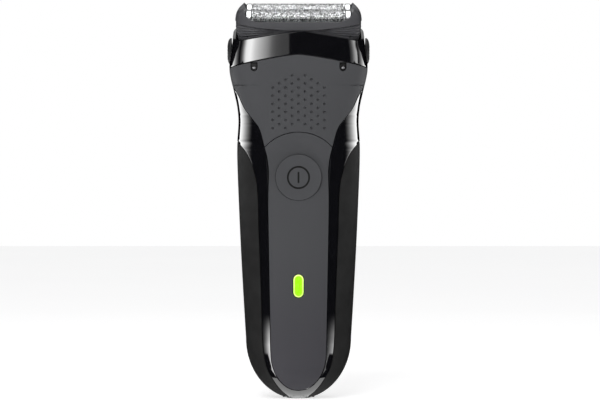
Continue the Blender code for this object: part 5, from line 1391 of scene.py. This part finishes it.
class SHAVER_OT_trimmer(bpy.types.Operator):
    """Comb between the foils, with an ear at each end"""

    bl_idname = "shaver.trimmer"
    bl_label = "Middle trimmer"

    def execute(self, context):
        long, half, foot = FOIL_HALF_LENGTH, 1.0 * MM, 5.6 * MM
        comb = block("trimmer_comb", (-long, -half, foot), (long, half, TRIMMER_TOP), in_head)
        ears = block(
            "ears", (-23.2 * MM, -half, TRIMMER_TOP - 1.5 * MM), (23.2 * MM, half, TRIMMER_TOP), in_head
        )
        join(comb, ears)
        corners = (-17.6 * MM, -0.6 * MM, 0), (17.6 * MM, 0.6 * MM, TRIMMER_TOP - 0.5 * MM)
        channel = block("channel", *corners, in_head)
        slot_low, slot_high = TRIMMER_TOP - 1.4 * MM, TRIMMER_TOP + 1 * MM
        slots = block("slots", (-17.5 * MM, -2 * half, slot_low), (-17.1 * MM, 2 * half, slot_high), in_head)
        modify(
            slots, "ARRAY", count=44, use_relative_offset=False, use_constant_offset=True,
            constant_offset_displace=(0.8 * MM, 0, 0),
        )  # fmt: skip
        cut(comb, channel, slots)
        finish(rounded(comb, 0.07 * MM), "motor_steel", "trimmer", "middle_trimmer", look="comb_steel")
        return {"FINISHED"}


class SHAVER_OT_cap_catches(bpy.types.Operator):
    """Two small tongues that hold the travel cap, coloured near-black as painted shade, with a pale nose at their
    foot whose colour is a painted highlight
    """

    bl_idname = "shaver.cap_catches"
    bl_label = "Cap catches"

    def execute(self, context):
        for node in ("cap_catch_left", "cap_catch_right"):
            low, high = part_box(node)
            x, half = (low.x + high.x) / 2, (high.x - low.x) / 2

            def at(a, b, k):
                """The tongue's front face follows the panel; its back is flat."""
                z = low.z + (high.z - low.z) * b
                front = on_face(x + a * half, z, -1).y + 0.25 * MM
                return (x + a * half, front if k < 0.5 else high.y - 0.2 * MM, z)

            outline = disc(1, (0, 0), math.pi, math.tau, 16)
            outline = [(a, 0.38 * (1 + b)) for a, b in outline] + [(1, 1), (-1, 1)]
            tongue = solid(node + "_tongue", outline, 0, 1, at)
            # painted shade: the tongue is near-black for the shade in its notch, not in its own grey
            finish(rounded(tongue, 0.18 * MM), "cassette_grey", "handle", node, look="print_black_and_painted_shade")
            nose_z = low.z + 0.95 * MM
            face = on_face(x, nose_z, -1).y
            bpy.ops.mesh.primitive_uv_sphere_add(segments=24, ring_count=14, radius=1)
            nose = context.object
            nose.name = nose.data.name = node + "_nose"
            size = Matrix.Diagonal((0.72 * MM, 0.3 * MM, 0.45 * MM, 1))
            nose.data.transform(Matrix.Translation((x, face + 0.26 * MM, nose_z + 0.2 * MM)) @ size)
            # painted highlight: the nose is pale for the light that catches the tongue's tip
            finish(rounded(nose, 0), "cassette_grey", "handle", look="catch_painted_highlight")
        return {"FINISHED"}


# ---- Machined and moulded parts inside -----------------------------------------------------------------------
REFINED = {
    "seat_plate": ("dark_plastic", 0.15), "inlet_housing": ("dark_plastic", 0.2),
    "inlet_pin_left": ("nickel", 0.25), "inlet_pin_right": ("nickel", 0.25),
    "head_screw_left": ("polished_steel", 0.12), "head_screw_right": ("polished_steel", 0.12),
    "drive_pin_front": ("polished_steel", 0.15), "drive_pin_rear": ("polished_steel", 0.15),
    "drive_boot_front": ("seal_rubber", 0.1), "drive_boot_rear": ("seal_rubber", 0.1),
    "front_cutter": ("foil_steel", 0.06), "rear_cutter": ("foil_steel", 0.06),
    "trimmer_blade": ("foil_steel", 0.05), "drive_bridge": ("white_plastic", 0.2),
    "foil_spring_front_left": ("polished_steel", 0), "foil_spring_front_right": ("polished_steel", 0),
    "foil_spring_rear_left": ("polished_steel", 0), "foil_spring_rear_right": ("polished_steel", 0),
    "release_spring_left": ("polished_steel", 0), "release_spring_right": ("polished_steel", 0),
}  # fmt: skip
INNER_SLOTS = {
    "housing_seal": "seal_rubber", "head_bracket": "dark_plastic", "chassis": "dark_plastic",
    "battery_cell_left": "cell_sleeve", "battery_cell_right": "cell_sleeve", "battery_strap": "nickel",
    "circuit_board": "board_green", "tact_switch": "dark_plastic", "status_led": "white_plastic",
    "motor_can": "motor_steel", "motor_end_cap": "white_plastic", "motor_shaft": "polished_steel",
    "eccentric": "brass", "switch_plunger": "white_plastic", "motor_lead_left": "lead_red",
    "motor_lead_right": "lead_black", "guide_rod_front": "polished_steel", "guide_rod_rear": "polished_steel",
    "housing_screw_left": "polished_steel", "housing_screw_right": "polished_steel",
}  # fmt: skip


class SHAVER_OT_refined_parts(bpy.types.Operator):
    """Small parts whose shape the frame gives, with their edges rounded"""

    bl_idname = "shaver.refined_parts"
    bl_label = "Pins, springs and plates"

    def execute(self, context):
        for node, (slot, edge) in REFINED.items():
            source = frame["nodes"][node]
            part = bpy.data.objects.new(node + "_piece", source.data.copy())
            bpy.context.scene.collection.objects.link(part)
            in_edit(
                part,
                lambda: bpy.ops.mesh.remove_doubles(threshold=2e-6),
                lambda: bpy.ops.mesh.dissolve_limited(angle_limit=math.radians(0.6)),
            )
            finish(rounded(part, edge * MM, 2, 50), slot, source["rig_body"], node)
        return {"FINISHED"}


class SHAVER_OT_inner_parts(bpy.types.Operator):
    """Finishes for the parts that stay as the frame has them"""

    bl_idname = "shaver.inner_parts"
    bl_label = "Motor, battery and board"

    def execute(self, context):
        for node, slot in INNER_SLOTS.items():
            part = frame["nodes"][node]
            part.data.materials.clear()
            part.data.materials.append(LOOKS[slot])
        return {"FINISHED"}


# ---- Stage ---------------------------------------------------------------------------------------------------
CARD_RADIUS = 0.12
CARD_MIDDLE, CARD_SWING = 91, 31  # degrees round the object from the front
def light_only(piece, camera=False, diffuse=False, glossy=True):
    """Leaves a stage piece out of the kinds of light that it shouldn't give."""
    piece.visible_camera, piece.visible_diffuse, piece.visible_glossy = camera, diffuse, glossy
    piece.visible_shadow = False


# Strength of the wall of light by the angle round the object in degrees: 0 in front, positive to the right.
LOW_WALL = [
    (-180, 0), (-58, 0), (-50, 0.06), (-44, 0.24), (-35, 0.85), (-25, 0.95), (-17.5, 0.62), (-10, 0.38),
    (-6.3, 0.24), (-3.9, 0.09), (-2, 0.05), (0, 0.045), (10, 0), (32, 0), (40, 0.07), (52, 0.36),
    (66, 0.4), (74, 0), (180, 0),
]  # fmt: skip


def turn_round(look):
    """The angle round the object in degrees: 0 at the front and positive to the right."""
    return look.maths("ARCTAN2", look.x, look.y * -1.0) * (180 / math.pi)


def shining(look, strength):
    look.set(Base_Color=(0, 0, 0, 1), Emission_Color=(1, 1, 1, 1), Emission_Strength=strength)
    look.set(Specular_IOR_Level=0.0)
    return look.material


def tent_look():
    """A wall of light: a low band in front, which the leaning collar shows."""
    look = Look("tent")
    turn = turn_round(look)
    ramp = look.node("ShaderNodeValToRGB", {"Fac": turn / 360 + 0.5})
    stops = ramp.color_ramp.elements
    for k, (angle, strength) in enumerate(LOW_WALL):
        stop = stops[k] if k < 2 else stops.new(0.999)
        stop.position, stop.color = angle / 360 + 0.5, (strength, strength, strength, 1)
    open_front = 1 - (turn > -0.7) * (turn < 30)
    far_side = look.between(abs(turn), 40, 44)
    foot = far_side * 0.16 - 0.38
    low = look.between(look.z - foot, -0.02, 0.02) * (1 - look.between(look.z, -0.11, -0.05))
    high = look.between(look.z, 0.42, 0.7)
    return shining(look, Value(look, ramp.outputs[0]) * open_front * low * 8.5 + high * 0.5)


def side_card_look():
    """A card beside the shoulder, brightest at its rear edge."""
    look = Look("side_card")
    turn = abs(turn_round(look))
    return shining(look, look.between(turn, 60, 106) * 4.5)


def glow(name, strength):
    look = Look(name)
    return shining(look, strength)


def floor_look():
    look = Look("floor")
    cloud = look.noise(0.3, 2)
    look.set(Base_Color=look.mix(cloud, (0.58, 0.58, 0.59), (0.62, 0.62, 0.62)), Roughness=0.6)
    look.set(Emission_Color=(1, 1, 1, 1), Emission_Strength=0.66, Specular_IOR_Level=0.1)
    return look.material


class SHAVER_OT_stage(bpy.types.Operator):
    """Pale floor, soft studio light and the camera"""

    bl_idname = "shaver.stage"
    bl_label = "Stage"

    def execute(self, context):
        scene = context.scene
        world = bpy.data.worlds.new("studio")
        world.use_nodes = True
        world.node_tree.nodes["Background"].inputs["Color"].default_value = (1, 1, 1, 1)
        world.node_tree.nodes["Background"].inputs["Strength"].default_value = 0.5
        world.cycles_visibility.glossy = False
        scene.world = world
        scene.view_settings.view_transform = "Standard"

        bpy.ops.mesh.primitive_plane_add(size=6)
        floor = context.object
        floor.name = "floor"
        floor.data.materials.append(floor_look())
        light_only(floor, camera=True, diffuse=True, glossy=False)

        bpy.ops.mesh.primitive_cylinder_add(vertices=96, radius=0.7, depth=1.6, end_fill_type="NOTHING")
        tent = context.object
        tent.name = "light_tent"
        tent.data.transform(Matrix.Translation((0, 0, 0.2)))
        tent.data.materials.append(tent_look())
        light_only(tent)

        for sign in (-1, 1):
            card = sheet(
                "side_card",
                24,
                1,
                lambda s, t: (
                    sign * CARD_RADIUS * math.sin(math.radians(CARD_MIDDLE + CARD_SWING * s)),
                    -CARD_RADIUS * math.cos(math.radians(CARD_MIDDLE + CARD_SWING * s)),
                    0.1065 + 0.0165 * t,
                ),
            )
            card.data.materials.append(side_card_look())
            light_only(card)

        bpy.ops.mesh.primitive_uv_sphere_add(segments=48, ring_count=24, radius=6)
        backdrop = context.object
        backdrop.name = "backdrop"
        backdrop.data.materials.append(glow("backdrop", 1.0))
        light_only(backdrop, camera=True, glossy=False)

        for name, z, radius, strength in (("top_card", 0.95, 0.6, 2.2), ("low_card", -0.58, 0.7, 1.5)):
            bpy.ops.mesh.primitive_circle_add(vertices=48, radius=radius, fill_type="NGON")
            card = context.object
            card.name = name
            card.data.transform(Matrix.Translation((0, 0, z)))
            card.data.materials.append(glow(name, strength))
            light_only(card)

        lamp = bpy.data.lights.new("key", "AREA")
        lamp.shape, lamp.size, lamp.size_y, lamp.energy = "RECTANGLE", 0.45, 0.45, 5.5
        key = bpy.data.objects.new("key", lamp)
        key.location = (-0.2, -0.75, 0.8)
        key.rotation_euler = (Vector((0, 0, 0.09)) - key.location).to_track_quat("-Z", "Y").to_euler()
        key.visible_camera = False
        scene.collection.objects.link(key)

        lens = bpy.data.cameras.new("camera")
        lens.lens, lens.sensor_width, lens.clip_start, lens.clip_end = 135, 36, 0.01, 50
        camera = bpy.data.objects.new("camera", lens)
        camera.location = (0.6 * MM, -0.914, 80.1 * MM)
        camera.rotation_euler = (math.radians(90), 0, 0)
        scene.collection.objects.link(camera)
        scene.camera = camera
        return {"FINISHED"}


class SHAVER_OT_finishes(bpy.types.Operator):
    """Makes the finishes that the pieces share"""

    bl_idname = "shaver.finishes"
    bl_label = "Finishes"

    def execute(self, context):
        make_looks(context.scene.shaver_colours)
        return {"FINISHED"}


STEPS = [
    SHAVER_OT_finishes,
    SHAVER_OT_stage,
    SHAVER_OT_front_panel,
    SHAVER_OT_thumb_panel,
    SHAVER_OT_housings,
    SHAVER_OT_grips,
    SHAVER_OT_rear_cover,
    SHAVER_OT_power_button,
    SHAVER_OT_lamp,
    SHAVER_OT_collar,
    SHAVER_OT_release_buttons,
    SHAVER_OT_cap_catches,
    SHAVER_OT_cassette,
    SHAVER_OT_foils,
    SHAVER_OT_trimmer,
    SHAVER_OT_refined_parts,
    SHAVER_OT_inner_parts,
]


class SHAVER_PT_panel(bpy.types.Panel):
    """The shaver's settings and pieces"""

    bl_idname = "SHAVER_PT_panel"
    bl_label = "Foil shaver"
    bl_space_type = "VIEW_3D"
    bl_region_type = "UI"
    bl_category = "Shaver"

    def draw(self, context):
        for group in (context.scene.shaver_sizes, context.scene.shaver_colours):
            box = self.layout.box()
            for name in group.__annotations__:
                box.prop(group, name)
        for step in STEPS:
            self.layout.operator(step.bl_idname)


CLASSES = [ShaverSizes, ShaverColours, *STEPS, SHAVER_PT_panel]


def register():
    for made in CLASSES:
        bpy.utils.register_class(made)
    bpy.types.Scene.shaver_sizes = bpy.props.PointerProperty(type=ShaverSizes)
    bpy.types.Scene.shaver_colours = bpy.props.PointerProperty(type=ShaverColours)


def unregister():
    del bpy.types.Scene.shaver_sizes, bpy.types.Scene.shaver_colours
    for made in reversed(CLASSES):
        bpy.utils.unregister_class(made)


def main():
    register()
    for step in STEPS:
        group, name = step.bl_idname.split(".")
        getattr(getattr(bpy.ops, group), name)()


if __name__ == "__main__":
    main()
